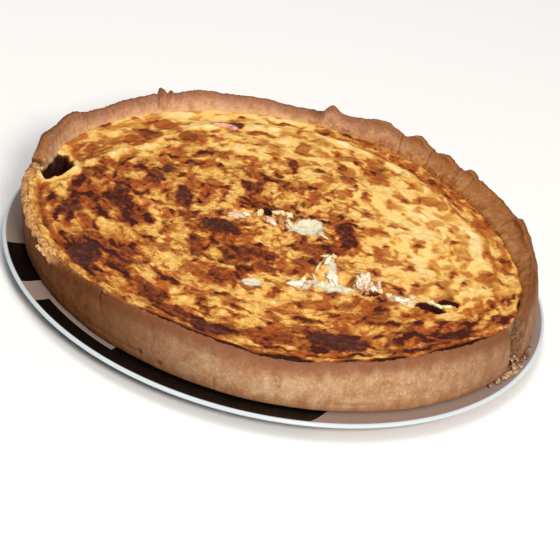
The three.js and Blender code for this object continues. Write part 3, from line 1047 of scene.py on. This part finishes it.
def warmth(x, y, inset, angle):
    """How hot each place stood, 0 to 1: hotter to the left, cool in the field at the back right and
    along the back left, hot again at the front right, along the front edge and in the moat behind."""
    sunk = sunken(angle)
    warm = 0.56 - 0.0024 * x + 0.25 * smoothstep(-x, 62, 100)
    for at_x, at_y, reach_x, reach_y, rise in WARM_FIELDS:
        warm = warm + rise * bell(x, at_x, reach_x) * bell(y, at_y, reach_y)
    warm = warm - smoothstep(y, 42, 90) * mix(0.36, -0.1, smoothstep(x, -20, 50))
    warm = warm + 0.08 * smoothstep(-y, 30, 60) * smoothstep(x, -40, 0)
    warm = warm + mix(0.5, 0.74, smoothstep(x, -60, 10)) * (1 - sunk) * (1 - smoothstep(inset, 6, 24))
    shore = shore_inset(angle)
    uneven = 0.55 + 0.9 * smoothstep(layered(x, y, 0, 16, 237, 2), -0.25, 0.3)
    in_moat = sunk * (1 - smoothstep(inset, 0.6 * shore, 1.05 * shore))
    cool = mix(-0.6, -0.12, smoothstep(x, -100, -40))
    warm = warm + in_moat * mix(cool, 0.34 * uneven, smoothstep(x, -30, 40))
    return np.clip(warm - 0.4 * shore_strength(angle) * bell(inset, shore, 3.2), 0, 1)


# %% Wrinkles and colour of the skin


def wrinkles(x, y):
    """Crests and ripples of a leathery skin. 1 - 2|noise| is sharp along its crests; the plane is
    warped so that they wander, and laid on a bowl so that they run round the quiche."""
    warp_x = x + 2.5 * layered(x, y, 0, 12, 271, 2)
    warp_y = y + 2.5 * layered(x, y, 0, 12, 281, 2)
    place = along_rim(warp_x, warp_y)
    crests = 1 - 2.2 * np.abs(layered(*place, 4.8, 291, 2, 0.45))
    ripples = layered(*place, 2.4, 301, 2, 0.55)
    return crests, ripples


def toast(x, y, inset, angle):
    """0 is pale cream, 0.5 amber, 1 dark brown. Soft mottling from gold to brown, then blots that are small
    and sharp-edged, then the scorch spots with their halos. warmth sets how brown each of them is and how
    much of the skin it covers. Crests are painted paler and valleys darker, as painted highlight and shade,
    and a thin brown line just outside the shoreline is painted shade."""
    warp_x = x + 2.0 * layered(x, y, 0, 8, 211) + 0.7 * perlin(x / 3, y / 3, 0, 215)
    warp_y = y + 2.0 * layered(x, y, 0, 8, 221) + 0.7 * perlin(x / 3, y / 3, 0, 225)
    warm = warmth(x, y, inset, angle)
    place = along_rim(warp_x, warp_y)
    patches = layered(*place, 6.4, 231, 3, 0.55)
    brown_share = smoothstep(patches, mix(-0.20, -0.38, warm), mix(0.60, 0.34, warm))
    blots = layered(*place, 4.6, 251, 2, 0.4)
    threshold = mix(0.30, 0.08, warm)
    blots = smoothstep(blots, threshold, threshold + 0.32)
    crests, ripples = wrinkles(x, y)
    brown = mix(mix(0.05, 0.36, warm), mix(0.42, 0.74, warm), brown_share)
    # Crests and ripples are painted paler and the valleys darker: painted highlight and shade on the
    # wrinkles.
    brown = brown + mix(0.36, 0.38, warm) * blots - mix(0.04, 0.10, warm) * (crests + 1.3 * ripples) + 0.03
    shore = shore_strength(angle) * (0.6 + 0.7 * perlin(x / 9, y / 9, 0, 253))
    brown = brown - 0.18 * shore * bell(inset, shore_inset(angle), 2.4)
    # A thin brown line on the outer side of the shoreline is painted shade.
    brown = brown + 0.1 * shore * bell(inset, shore_inset(angle) - 4, 1.6)
    core, halo = scorch(warp_x, warp_y)
    # Inside the spots too the crests are painted paler: painted highlight.
    inner_tone = 0.95 - 0.05 * crests - 0.12 * ripples + 0.06 * perlin(warp_x / 3, warp_y / 3, 0, 245)
    brown = np.maximum(brown + 0.16 * halo, core * inner_tone)
    left = at_left_rim(angle)
    on_rim = left * (1 - smoothstep(inset + 1.5 * perlin(x / 4, y / 4, 0, 247), 2.6, 5.2))
    brown = mix(brown, 0.42 + 0.4 * layered(*along_rim(x, y), 2.4, 249, 2), 0.9 * on_rim)
    return mix(brown, 0.80, 0.85 * left * bell(inset, CREASE_INSET + 0.6, 1.5)), core


def torn_places(x, y):
    """1 where the pale inside shows, with ragged borders, and 0 where the skin is whole."""
    ragged = 0.32 * layered(x, y, 0, 5, 261, 3, 0.65)
    strongest = np.zeros_like(x)
    for at_x, at_y, length, width, turn, strength in PALE_PLACES:
        away = oval(x, y, at_x, at_y, length / 2, width / 2, turn) + ragged
        strongest = np.maximum(strongest, strength * (1 - smoothstep(away, 0.8, 1.15)))
    return strongest


# %% The custard's points


def filling_points():
    """Grid of the skin (side, side, 3) with its attributes."""
    angle, share = disc_grid(SKIN_SIDE)

    def edge(z):
        return wall_xy(angle, z, wall_thickness(angle, z) - 0.5 - 1.3 * at_left_rim(angle))

    guess_x, guess_y = edge(LEVEL + 0 * angle)
    edge_x, edge_y = edge(skin_height(angle, guess_x, guess_y, 0 * angle))
    radius = np.hypot(edge_x - QUICHE[0], edge_y - QUICHE[1])
    inset = (1 - share) * radius
    x = mix(QUICHE[0], edge_x, share)
    y = mix(QUICHE[1], edge_y, share)
    brown, burnt = toast(x, y, inset, angle)
    torn = torn_places(x, y)
    crests, ripples = wrinkles(x, y)
    inland = smoothstep(inset, 0.5, 4)
    whole = 1 - 0.8 * torn
    humps = layered(x, y, 0, 5.5, 305, 2)
    lively = mix(0.12, 1.0, smoothstep(warmth(x, y, inset, angle), 0.1, 0.7))
    relief = lively * (0.5 * crests + 0.5 * ripples) + 0.5 * humps + 0.4 * smoothstep(brown, 0.5, 1.0)
    on_rim = at_left_rim(angle) * (1 - smoothstep(inset, 2.5, 5.5))
    relief = inland * whole * relief + 0.7 * on_rim * layered(*along_rim(x, y), 2.2, 307, 2)
    relief += 0.5 * layered(x, y, 0, 14, 311, 2)
    z = skin_height(angle, x, y, inset) + relief
    deep = np.zeros_like(x)
    for name, (at_x, at_y, length, width, depth, turn) in PITS.items():
        away = oval(x, y, at_x, at_y, length / 2, width / 2, turn)
        away = away + 0.16 * layered(x, y, 0, 4, 321, 2)
        z = z - depth * (1 - smoothstep(away, 0.55, 1.1)) + 0.5 * bell(away, 1.2, 0.18)
        # Pits whose name holds hole are darkened inside as painted shade.
        if "hole" in name:
            deep = np.maximum(deep, 1 - smoothstep(away, 0.98, 1.22))
    z = z + torn * (0.7 * perlin(x / 3.6, y / 3.6, 0, 331) + 0.2 * perlin(x / 1.6, y / 1.6, 0, 341) + 0.5)
    open_here = 0.0
    for start, end, wide in CREVICES:
        middle = (start + end) / 2
        open_here = open_here + wide * window(angle, start, middle, middle, end)
    reach = 0.6 + 1.7 * open_here
    gap = 1 - smoothstep(inset, 0.5 * reach, reach + 0.4 * perlin(x / 6, y / 6, 0, 351))
    gap = gap * smoothstep(open_here, 0.02, 0.3)
    front = 1 - sunken(angle)
    z = z - 1.8 * gap + (0.5 * front + open_here) * bell(inset, reach + 2.0, 1.3)
    shade = smoothstep(open_here, 0.02, 0.3) * (1 - smoothstep(inset, reach + 0.3, reach + 1.2))
    within = inside_outline(x + 1.2 * perlin(x / 5, y / 5, 0, 361), y, HOLLOW)
    hollow = smoothstep(within, -0.5, 1.1)
    z = mix(z, HOLLOW_BOTTOM + 1.5 * perlin(x / 6, y / 6, 0, 371), hollow)
    z = z + 0.9 * bell(within, -1.6, 1.1)
    brown = brown * (1 - 0.75 * bell(within, -2.2, 1.8))
    attributes = {
        "toast": brown,
        "burnt": smoothstep(burnt, 0.8, 1.0),
        "torn": torn * (1 - deep),
        # dark is painted shade in the holes, in the hollow and along the crevices at the front.
        "dark": np.clip(np.maximum(deep, smoothstep(within, -0.7, 0.1)) + 0.9 * shade, 0, 1),
        "lively": lively,
        "moat": sunken(angle) * (1 - smoothstep(inset, 16, 24)) * smoothstep(x, -10, 60),
    }
    return np.stack([x, y, z], -1), attributes, angle


skin_grid, skin_attributes, skin_angle = filling_points()
skin_low, skin_high = skin_grid[..., 2].min(), skin_grid[..., 2].max()
print("the skin lies between", skin_low.round(1), "and", skin_high.round(1), "mm")

# %% The custard's side and underside
SIDE_ROWS = 7


def rim_of_grid(number):
    """Numbers of the points on the four edges of the square grid, once round, anticlockwise."""
    edges = [number[0, :-1], number[:-1, -1], number[-1, :0:-1], number[:0:-1, 0]]
    return np.concatenate(edges)


def close_filling(grid, attributes):
    """Adds rows down the side, from the skin's edge to the foot, and a fan that closes the foot. Gives
    points, faces and values."""
    skin = grid.reshape(-1, 3)
    number = np.arange(len(skin)).reshape(grid.shape[:2])
    edge = rim_of_grid(number)
    count = len(edge)
    top = np.stack([number[:-1, :-1], number[:-1, 1:], number[1:, 1:], number[1:, :-1]], -1).reshape(-1, 4)
    angle = skin_angle.ravel()[edge]
    rows = []
    for share in np.linspace(0, 1, SIDE_ROWS + 1)[1:]:
        z = mix(skin[edge, 2], FILLING_FOOT, share)
        x, y = wall_xy(angle, z, wall_thickness(angle, z) - 0.5 * (1 - share))
        x, y = pushed(x, y, angle, 0.7 * broken(angle) * layered(x, y, z, 5, 381, 3, 0.6))
        rows.append(np.stack([x, y, z], -1))
    middle = [[*QUICHE, FILLING_FOOT]]
    points = np.concatenate([skin, *rows, middle])
    rings = [edge] + [len(skin) + row * count + np.arange(count) for row in range(SIDE_ROWS)]
    side = [
        np.stack([low, np.roll(low, -1), np.roll(high, -1), high], -1)
        for high, low in zip(rings[:-1], rings[1:])
    ]
    under = fan(rings[-1], len(points) - 1, False)
    extra = SIDE_ROWS * count + 1
    values = {key: np.concatenate([array.ravel(), np.zeros(extra)]) for key, array in attributes.items()}
    values["side"] = np.concatenate([np.zeros(len(skin)), np.ones(extra)])
    values["toast"][len(skin) :] = 0.3
    return points, [top, *side, under], values


filling_mesh, filling_faces, filling_values = close_filling(skin_grid, skin_attributes)
filling = make_piece("custard_filling", filling_mesh, filling_faces, "filling", filling_values)
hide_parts("filling")

# %% [markdown]
# ### Baked custard
# The skin goes from cream yellow through amber to a dark brown, and a grey-purple painted sheen lies on the
# darkest spots. A colour ramp turns the one number `toast` into those colours, the finest mottling comes
# from noise in the material, and the browned blisters are a little glossier than the pale custard between
# them. Holes, the hollow, the crevices and the cut side are painted dark as shade.

# %% Custard material
SKIN_COLOURS = {
    0.00: "#F6E1AB",
    0.15: "#EFC97C",
    0.30: "#E2AC59",
    0.45: "#CC9044",
    0.60: "#AD692B",
    0.75: "#88461B",
    0.88: "#662C12",
    1.00: "#45190E",
}


def custard_finish():
    finish = Finish("baked_custard", specular_ior_level=0.1)
    toasted, lively, moat, burnt = finish.attributes("toast lively moat burnt")
    side, torn, dark = finish.attributes("side torn dark")
    fine = finish.noise(2.2, 3, 0.6, (1, 0.75, 1))
    speck = finish.noise(1.1, 2, 0.6)
    broad = finish.noise(25, 2, 0.5)
    leather = finish.noise(3.6, 2, 0.5) - 0.5
    ridge = 1 - (leather * leather + 0.0016) ** 0.5 * 5
    lively = lively * 0.9 + 0.1
    # Paler on the crests of the fine relief: painted highlight.
    uneven = (fine - 0.5) * 0.44 + (speck - 0.5) * 0.20 - (ridge - 0.6) * 0.12
    brown = toasted + uneven * lively
    rosy = finish.noise(8, 2).step(0.4, 0.6) * brown.step(0.3, 0.5) * brown.step(0.95, 0.7)
    golden = finish.noise(13, 2).step(0.42, 0.6) * brown.step(0.45, 0.2)
    inside = finish.blend("#E0DCC4", "#DEC792", (fine * 0.6 + speck * 0.4).step(0.46, 0.66))
    # The custard's cut side at the break, painted grey-brown as shadow.
    shaded_cut_side = finish.blend("#775842", "#957660", fine.step(0.4, 0.62))
    colour = finish.coats(
        finish.node("ValToRGB", {"stops": SKIN_COLOURS}, {"Fac": brown}),
        ("#B04A1E", rosy * 0.45),
        ("#F0C05A", golden * 0.3),
        ("#B05E12", moat * (finish.noise(6, 3, 0.6).step(0.45, 0.75) * 0.55 + 0.05)),
        # A grey-purple painted sheen on the darkest spots.
        ("#553430", burnt * broad.step(0.35, 0.6) * 0.4),
        (shaded_cut_side, side),
        (inside, torn),
        # Painted shade in the holes, the hollow and the crevices.
        ("#8A4416", dark.step(0.0, 0.4)),
        ("#34120A", dark.step(0.3, 0.8)),
    )
    finish.feed("Base Color", colour)
    finish.feed("Roughness", 0.68 - brown.step(0.4, 0.9) * 0.14)
    finish.bump((ridge * 0.5 + fine * 0.4 + speck * 0.1) * lively * (1 - torn * 0.5), 1.3)
    return finish


dress(filling, custard_finish())

# %% [markdown]
# ## Shreds and crumbs
# Where the skin tore, bits of cheese and ham stand up, pastry crumbs lie at the break, and a little
# custard boiled over the rim. Each bit is a small ball, stretched, turned and roughened, and all bits
# of one kind are one mesh. Their materials are a blend of two or more colours by a number that is
# stored for each bit, so that neighbours differ.

# %% Many small lumps in one mesh


def unit_ball(splits):
    """Points and triangles of an icosahedron, 1 mm wide, whose faces are split again and again."""
    shape = bmesh.new()
    bmesh.ops.create_icosphere(shape, subdivisions=splits, radius=0.5)
    shape.verts.ensure_lookup_table()
    points = np.array([vertex.co for vertex in shape.verts])
    triangles = np.array([[vertex.index for vertex in face.verts] for face in shape.faces])
    shape.free()
    return points, triangles


def lumps(places, sizes, seed, roughness=0.35, turn=None, tilt=None, splits=2):
    """places and sizes are (count, 3) in mm. Each ball's points are pushed out or in by noise, turned
    (at random where no turn is given), stretched to its size and moved to its place."""
    points, triangles = unit_ball(splits)
    random = np.random.default_rng(seed)
    count = len(places)
    shift = random.uniform(0, 90, (count, 1, 3))
    field = points[None] * 3.1 + shift
    swell = 1 + roughness * perlin(field[..., 0], field[..., 1], field[..., 2], seed)
    if splits > 2:
        creased = np.abs(perlin(*(field[..., axis] * 2.1 for axis in range(3)), seed + 1))
        swell += roughness * (1.6 * creased - 0.35)
    turn = random.uniform(0, 2 * np.pi, (count, 1)) if turn is None else turn[:, None]
    tilt = random.normal(0, 0.25, (count, 1)) if tilt is None else tilt[:, None]
    shape = points[None] * swell[..., None] * sizes[:, None, :]
    x = shape[..., 0] * np.cos(turn) - shape[..., 1] * np.sin(turn)
    y = shape[..., 0] * np.sin(turn) + shape[..., 1] * np.cos(turn)
    z = shape[..., 2] + x * tilt
    solid = np.stack([x, y, z], -1) + places[:, None, :]
    faces = triangles[None] + (np.arange(count) * len(points))[:, None, None]
    tint = np.repeat(random.uniform(0, 1, count), len(points))
    return solid.reshape(-1, 3), faces.reshape(-1, 3), tint


def skin_level(x, y):
    """Height of the finished skin at the nearest of every seventh point of its grid."""
    sparse = skin_grid.reshape(-1, 3)[::7]
    away = (x[:, None] - sparse[None, :, 0]) ** 2 + (y[:, None] - sparse[None, :, 1]) ** 2
    return sparse[np.argmin(away, 1), 2]


# %% [markdown]
# ### Shreds of ham and cheese
# The bits in the custard show at the tears as pale and pink shreds. A particle system could scatter
# them, but every tear has its own, so a table says where each shred lies, how large it is, how it is
# turned, and which of five colours it has.

# %% Flakes at the tears
# Each flake: x, y, rise above the skin, length, width, thickness in mm, turn and tilt in degrees, tint.
WHITE, CREAM, ROSE, GOLD, HAM = 0.0, 0.25, 0.5, 0.75, 1.0
FLAKES = [
    (-44.6, 94.6, 0.2, 11.0, 2.6, 1.6, 16, 0, HAM),
    (-38.4, 94.8, 0.4, 4.0, 3.0, 1.8, 0, 0, HAM),
    (-24.4, 1.6, 0.3, 8.5, 5.0, 1.6, 12, 4, ROSE),
    (-20.5, 4.5, 0.6, 4.0, 2.4, 1.2, -20, 10, WHITE),
    (-13.6, 6.2, 1.2, 4.6, 2.2, 4.4, 60, 0, CREAM),
    (-15.8, 4.0, 0.5, 3.4, 2.2, 2.4, 100, 0, GOLD),
    (-8.2, 4.0, 0.4, 6.4, 4.6, 2.6, -25, 8, ROSE),
    (-6.4, 1.6, 0.3, 4.2, 2.2, 2.0, -30, 0, WHITE),
    (-2.6, 3.4, 0.4, 3.0, 10.5, 2.6, 12, 0, GOLD),
    (-5.8, 13.0, 1.0, 4.0, 2.6, 2.6, 30, 0, CREAM),
    (-2.6, 15.0, 0.6, 4.2, 2.4, 2.2, -15, 0, CREAM),
    (0.8, 13.6, 0.4, 3.4, 4.4, 2.0, 20, 0, CREAM),
    (1.4, 6.0, 0.3, 1.8, 8.0, 1.6, 24, 0, CREAM),
    (18.6, -1.6, 0.4, 6.0, 1.3, 1.0, -30, 0, CREAM),
    (11.2, -51.4, 0.4, 6.6, 3.6, 1.6, 10, 8, WHITE),
    (14.0, -47.6, 1.0, 2.6, 1.8, 3.0, 70, 0, WHITE),
    (17.0, -48.2, 0.5, 3.6, 2.4, 1.8, 40, 0, ROSE),
    (19.7, -49.8, 0.4, 2.0, 3.0, 1.8, 0, 0, ROSE),
    (22.8, -18.8, 1.0, 6.0, 1.1, 1.1, 22, 0, CREAM),
    (26.4, -17.6, 1.2, 2.4, 1.2, 2.2, -30, 0, CREAM),
    (23.8, -23.0, 0.8, 1.9, 8.0, 1.8, -8, 0, WHITE),
    (21.0, -24.5, 0.4, 1.0, 7.0, 1.2, -20, 0, GOLD),
    (19.6, -31.0, 0.5, 1.1, 8.5, 1.2, -10, 0, CREAM),
    (18.6, -38.5, 0.5, 1.1, 7.0, 1.2, 20, 0, CREAM),
    (28.4, -22.0, 0.3, 0.9, 6.5, 1.0, 18, 0, GOLD),
    (27.2, -34.5, 0.5, 5.0, 13.0, 2.4, 14, 0, WHITE),
    (46.6, -43.4, 0.8, 4.6, 2.8, 2.6, -10, 0, WHITE),
    (49.3, -39.4, 1.2, 3.0, 2.2, 5.6, 100, 0, ROSE),
    (50.4, -42.4, 0.4, 2.6, 3.4, 1.6, 0, 0, CREAM),
    (55.0, -42.4, 0.2, 3.6, 2.4, 1.2, 30, 0, CREAM),
    (60.4, -45.4, 0.3, 5.6, 2.4, 1.4, 0, 0, WHITE),
    (63.6, -43.6, 0.4, 4.2, 2.2, 1.6, 40, 0, CREAM),
    (66.2, -40.4, 0.6, 4.0, 2.2, 1.8, 30, 0, ROSE),
    (65.4, -47.4, 0.3, 3.4, 1.8, 1.2, -10, 0, CREAM),
    (75.2, -40.6, 0.6, 3.6, 2.0, 2.0, 0, 0, CREAM),
    (79.0, -42.0, 0.7, 5.0, 1.7, 1.7, -10, 0, CREAM),
    (83.4, -41.0, 0.6, 4.2, 1.6, 1.6, 18, 0, CREAM),
    (86.4, -38.6, 0.4, 3.0, 1.5, 1.4, 30, 0, GOLD),
    (74.4, -45.2, -0.6, 3.2, 1.5, 1.2, 10, 0, GOLD),
]


def flake_piece():
    """The shreds of the table, each standing at its height above the skin."""
    table = np.array(FLAKES)
    x, y = table[:, 0], table[:, 1]
    places = np.stack([x, y, skin_level(x, y) + table[:, 2]], -1)
    turn, tilt = np.radians(table[:, 6]), np.radians(table[:, 7])
    points, faces, _ = lumps(places, table[:, 3:6], 43, 0.6, turn, tilt, 3)
    tint = np.repeat(table[:, 8], len(points) // len(table))
    piece = make_piece("torn_flakes", points, [faces], "filling", {"tint": tint})
    finish = Finish("torn_custard", roughness=0.55, specular_ior_level=0.25)
    fine = finish.noise(1.5, 2)
    colours = {WHITE: "#F6EEDC", CREAM: "#F0DDA8", ROSE: "#E6C3A8", GOLD: "#C98A3A", HAM: "#E3ACA6"}
    tint = finish.attribute("tint") + (fine - 0.5) * 0.24
    colour = finish.node("ValToRGB", {"stops": colours}, {"Fac": tint})
    finish.feed("Base Color", finish.blend(colour, "#C08A52", fine.step(0.6, 0.8) * 0.5))
    finish.bump(fine, 0.4)
    dress(piece, finish)


flake_piece()

# %% [markdown]
# ### The crumbly lump
# At the front tear a lump of set custard stands up, rough and full of knobs. It could be sculpted by hand.
# Noise gives it from a few numbers: the absolute value of noise has round knobs and sharp valleys. The
# valleys and the lower part of the lump are darkened as painted shade.

# %% The crumbly lump at the front tear
LUMP_PLACE, LUMP_SIZE = (41.9, -40.8, 27.6), (7.4, 13.0, 14.5)
SHADE_BELOW = 3.2  # mm above its middle


def lump_piece():
    """A ball stretched to the lump's size. |noise| pushes it out into rounded knobs, and the creases
    between them, where the noise is 0, are stored for the painted shade in them."""
    points, triangles = unit_ball(6)
    x, y, z = (points * LUMP_SIZE).T
    knobs = np.abs(layered(x, y, z, 3.9, 401, 2, 0.5))
    grains = np.abs(layered(x, y, z, 1.9, 411, 2, 0.6))
    swell = 0.72 + 0.7 * knobs + 0.22 * grains
    points = points * swell[:, None] * LUMP_SIZE + LUMP_PLACE
    creases = smoothstep(0.7 * knobs + 0.3 * grains, 0.16, 0.05)
    low = smoothstep(points[:, 2], LUMP_PLACE[2] + SHADE_BELOW, LUMP_PLACE[2])
    attributes = {"crease": creases, "low": low}
    piece = make_piece("crumbly_lump", points, [triangles], "filling", attributes)
    finish = Finish("crumbly_custard", roughness=0.6, specular_ior_level=0.2)
    cloudy = finish.noise(3.4, 2)
    fine = finish.noise(1.3, 2)
    low = (finish.attribute("low") + cloudy - 0.5).step(0.1, 0.7)
    colour = finish.coats(
        finish.blend("#F1E6D4", "#E2BE98", (cloudy * 0.6 + fine * 0.4).step(0.45, 0.58)),
        # Painted shade: brown over the lower part and in the creases.
        ("#B97A55", low * 0.8),
        ("#7A3A20", finish.attribute("crease") * (low * 0.6 + 0.25)),
    )
    finish.feed("Base Color", colour)
    finish.bump(fine, 0.5)
    dress(piece, finish)


lump_piece()

# %% [markdown]
# ### Pastry crumbs
# Where the wall broke, crumbs lie on the plate and on the stump. They could be dropped in a physics
# run. Random numbers with a fixed seed are quicker and put them in the same places every time.

# %% Crumbs of pastry at the break
CRUMB_COUNT = 90
CRUMBS_AT, CRUMBS_SPREAD = 336, 4.2  # degrees
LARGEST_CRUMB, SMALLEST_CRUMB = 3.4, 0.9  # mm


def crumb_piece():
    """Crumbs on the plate before the break and on its stump: inset is how far in from the wall's
    outside each lies, below 0 on the plate."""
    random = np.random.default_rng(51)
    angle = random.normal(CRUMBS_AT, CRUMBS_SPREAD, CRUMB_COUNT)
    inset = -0.8 - 3.6 * random.uniform(0, 1, CRUMB_COUNT) ** 1.3 * bell(angle, CRUMBS_AT + 2, 6)
    in_break = (angle > BREAK_FROM + 1) & (angle < BREAK_TO - 1)
    inset = np.where(in_break, inset + 5 * random.uniform(0, 1, CRUMB_COUNT), inset)
    x, y = wall_xy(angle, CRUST_FOOT + 1.0, inset)
    size = mix(LARGEST_CRUMB, SMALLEST_CRUMB, random.uniform(0, 1, CRUMB_COUNT) ** 0.6)
    on_stump = CRUST_FOOT + BREAK_STUMP - 0.5 + random.uniform(-1, 1.5, CRUMB_COUNT)
    on_plate = CRUST_FOOT + 0.3 * size
    z = np.where(inset < 0, on_plate, on_stump)
    places = np.stack([x, y, z], -1)
    sizes = np.stack([size, 0.75 * size, 0.7 * size], -1)
    points, faces, tint = lumps(places, sizes, 53, 0.5)
    piece = make_piece("pastry_crumbs", points, [faces], "crust", {"tint": tint})
    finish = Finish("crumbled_pastry", roughness=0.9, specular_ior_level=0.2)
    fine = finish.noise(1.2, 3, 0.7)
    colour = finish.blend("#6E4B36", "#CFAE8C", finish.attribute("tint"))
    finish.feed("Base Color", finish.blend(colour, "#7C4C28", fine.step(0.52, 0.75) * 0.7))
    finish.bump(fine, 0.4)
    dress(piece, finish)


crumb_piece()

# %% [markdown]
# ### Spilt custard
# Custard that boiled over the rim dries there in small drops that run into each other. Overlapping
# lumps round one place look like that, and need no liquid simulation.

# %% Custard that spilt over the rim at the left
SPILL_PLACE = (-103.0, -74.0, 28.2)
DROP_COUNT = 34


def spill_piece():
    """Dried drops scattered round one place on the rim."""
    random = np.random.default_rng(61)
    x = SPILL_PLACE[0] + random.normal(0, 2.2, DROP_COUNT)
    y = SPILL_PLACE[1] + random.normal(0, 2.4, DROP_COUNT)
    z = SPILL_PLACE[2] + random.uniform(-0.6, 0.7, DROP_COUNT)
    size = random.uniform(1.0, 3.0, DROP_COUNT)
    sizes = np.stack([size, 0.8 * size, 0.6 * size], -1)
    points, faces, tint = lumps(np.stack([x, y, z], -1), sizes, 63, 0.45)
    piece = make_piece("spilt_custard", points, [faces], "filling", {"tint": tint})
    finish = Finish("dried_custard", roughness=0.7, specular_ior_level=0.3)
    fine = finish.noise(1.3, 2)
    colour = finish.blend("#C08A4E", "#E8C48A", finish.attribute("tint"))
    finish.feed("Base Color", finish.blend(colour, "#B27B42", fine.step(0.5, 0.75) * 0.7))
    dress(piece, finish)


spill_piece()

# %% [markdown]
# ## The plate
# The plate is almost flat porcelain with a narrow raised lip, thrown and turned, so it is a profile
# carried round an axis. Rounding the profile with a moving average gives the lip the soft edge of a
# glaze. Three plain black fields decorate the border at the left and the front.

# %% The plate's surface
PLATE_STATIONS, PROFILE_STEPS, PROFILE_SOFTNESS = 320, 420, 9
# All in mm.
PLATE_TOP, LIP_TOP, LIP_UNDERSIDE = 7.5, 8.6, 5.6
FLAT_RADIUS, FOOT_RING, FOOT_RING_WIDTH, RECESS = 132.3, 86.0, 4.0, 2.0


def plate_profile():
    """Radius and height along the section, from the middle of the underside out, up and back in.
    Points are spread along the outline by length, then a moving average rounds the corners."""
    inner_foot = FOOT_RING - FOOT_RING_WIDTH
    middle = (LIP_TOP + LIP_UNDERSIDE) / 2
    outline = np.array(
        [
            (0.5, RECESS),
            (inner_foot - 2, RECESS),
            (inner_foot, 0),
            (FOOT_RING, 0),
            (FOOT_RING + 2.5, 2.6),
            (PLATE_RADIUS - 3.5, LIP_UNDERSIDE - 0.5),
            (PLATE_RADIUS - 1.2, LIP_UNDERSIDE + 0.3),
            (PLATE_RADIUS, middle - 0.3),
            (PLATE_RADIUS - 0.7, LIP_TOP - 0.4),
            (PLATE_RADIUS - 2, LIP_TOP),
            (FLAT_RADIUS + 1, PLATE_TOP + 0.35),
            (FLAT_RADIUS, PLATE_TOP),
            (0.5, PLATE_TOP),
        ]
    )
    length = np.concatenate([[0], np.cumsum(np.hypot(*np.diff(outline, axis=0).T))])
    even = np.linspace(0, length[-1], PROFILE_STEPS)
    radius, height = (np.interp(even, length, outline[:, axis]) for axis in (0, 1))
    kernel = np.ones(3) / 3
    for _ in range(PROFILE_SOFTNESS):
        for line in (radius, height):
            line[1:-1] = np.convolve(line, kernel, "valid")
    bend = np.abs(np.gradient(np.gradient(height)))
    keep = (bend > 1e-3) | (np.arange(PROFILE_STEPS) % 12 == 0)  # all points of a bend, few of a flat
    keep[[0, -1]] = True
    return radius[keep], height[keep]


profile_radius, profile_height = plate_profile()
turn = np.arange(PLATE_STATIONS) * 2 * np.pi / PLATE_STATIONS
plate_grid = np.stack(
    [
        np.outer(profile_radius, np.cos(turn)),
        np.outer(profile_radius, np.sin(turn)),
        np.repeat(profile_height[:, None], PLATE_STATIONS, 1),
    ],
    -1,
)
plate_ends = [(0, 0, RECESS), (0, 0, PLATE_TOP)]
plate = make_piece("serving_plate", *close_rings(plate_grid, plate_ends), "plate")
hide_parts("plate")

# %% [markdown]
# ### Glazed porcelain with black fields
# The plate's glaze is white and glossy, so the shader has a low roughness. Inside the lip its flat is
# painted grey-brown as painted shade and painted reflection. The black fields are places between two angles
# and two radii, found from the object's own coordinates.

# %% Glaze material
WHITE_FROM = 134.1  # mm from the middle; the lip is white beyond
DIAGONAL = 0.45  # degrees for each mm beyond the corner, at the right end of the last field
FIELD_CORNER = 129.0  # mm from the middle
# From and to in degrees, and the inner and outer radius in mm.
BLACK_FIELDS = [(197, 212, 118, 133.8), (219, 246, 126.5, 133.9), (240, 285.2, 112, 133.9)]


def between(value, low, high, soft):
    """1 from low to high, with borders twice as wide as soft."""
    return value.step(low - soft, low + soft) * value.step(high + soft, high - soft)


def glaze_finish():
    finish = Finish("white_glaze", roughness=0.16, specular_ior_level=0.22)
    where = finish.node("TexCoord", output="Object")
    x = finish.node("SeparateXYZ", inputs={0: where}, output="X")
    y = finish.node("SeparateXYZ", inputs={0: where}, output="Y")
    radius = (x * x + y * y) ** 0.5 / MM
    angle = finish.node("Math", {"operation": "ARCTAN2"}, {0: y, 1: x}) * (180 / math.pi)
    angle = angle + 360 * angle.step(0.0, -0.001)
    angle = angle + (radius - FIELD_CORNER) * DIAGONAL * angle.step(270, 275)
    black = 0.0
    for start, end, inner, outer in BLACK_FIELDS:
        black = between(angle, start, end, 0.1) * between(radius, inner, outer, 0.2) + black
    clouds = finish.noise(40, 2)
    white = finish.blend("#D2DCE2", "#C4CFD6", clouds)
    # Inside the lip the white glaze is painted grey-brown: painted shade and painted reflection.
    shaded_flat = finish.blend("#A08C82", "#8D7870", clouds)
    on_lip = radius.step(WHITE_FROM - 0.25, WHITE_FROM + 0.25)
    finish.feed("Base Color", finish.coats(shaded_flat, (white, on_lip), ("#0B090A", black.step(0.2, 0.8))))
    return finish


dress(plate, glaze_finish())
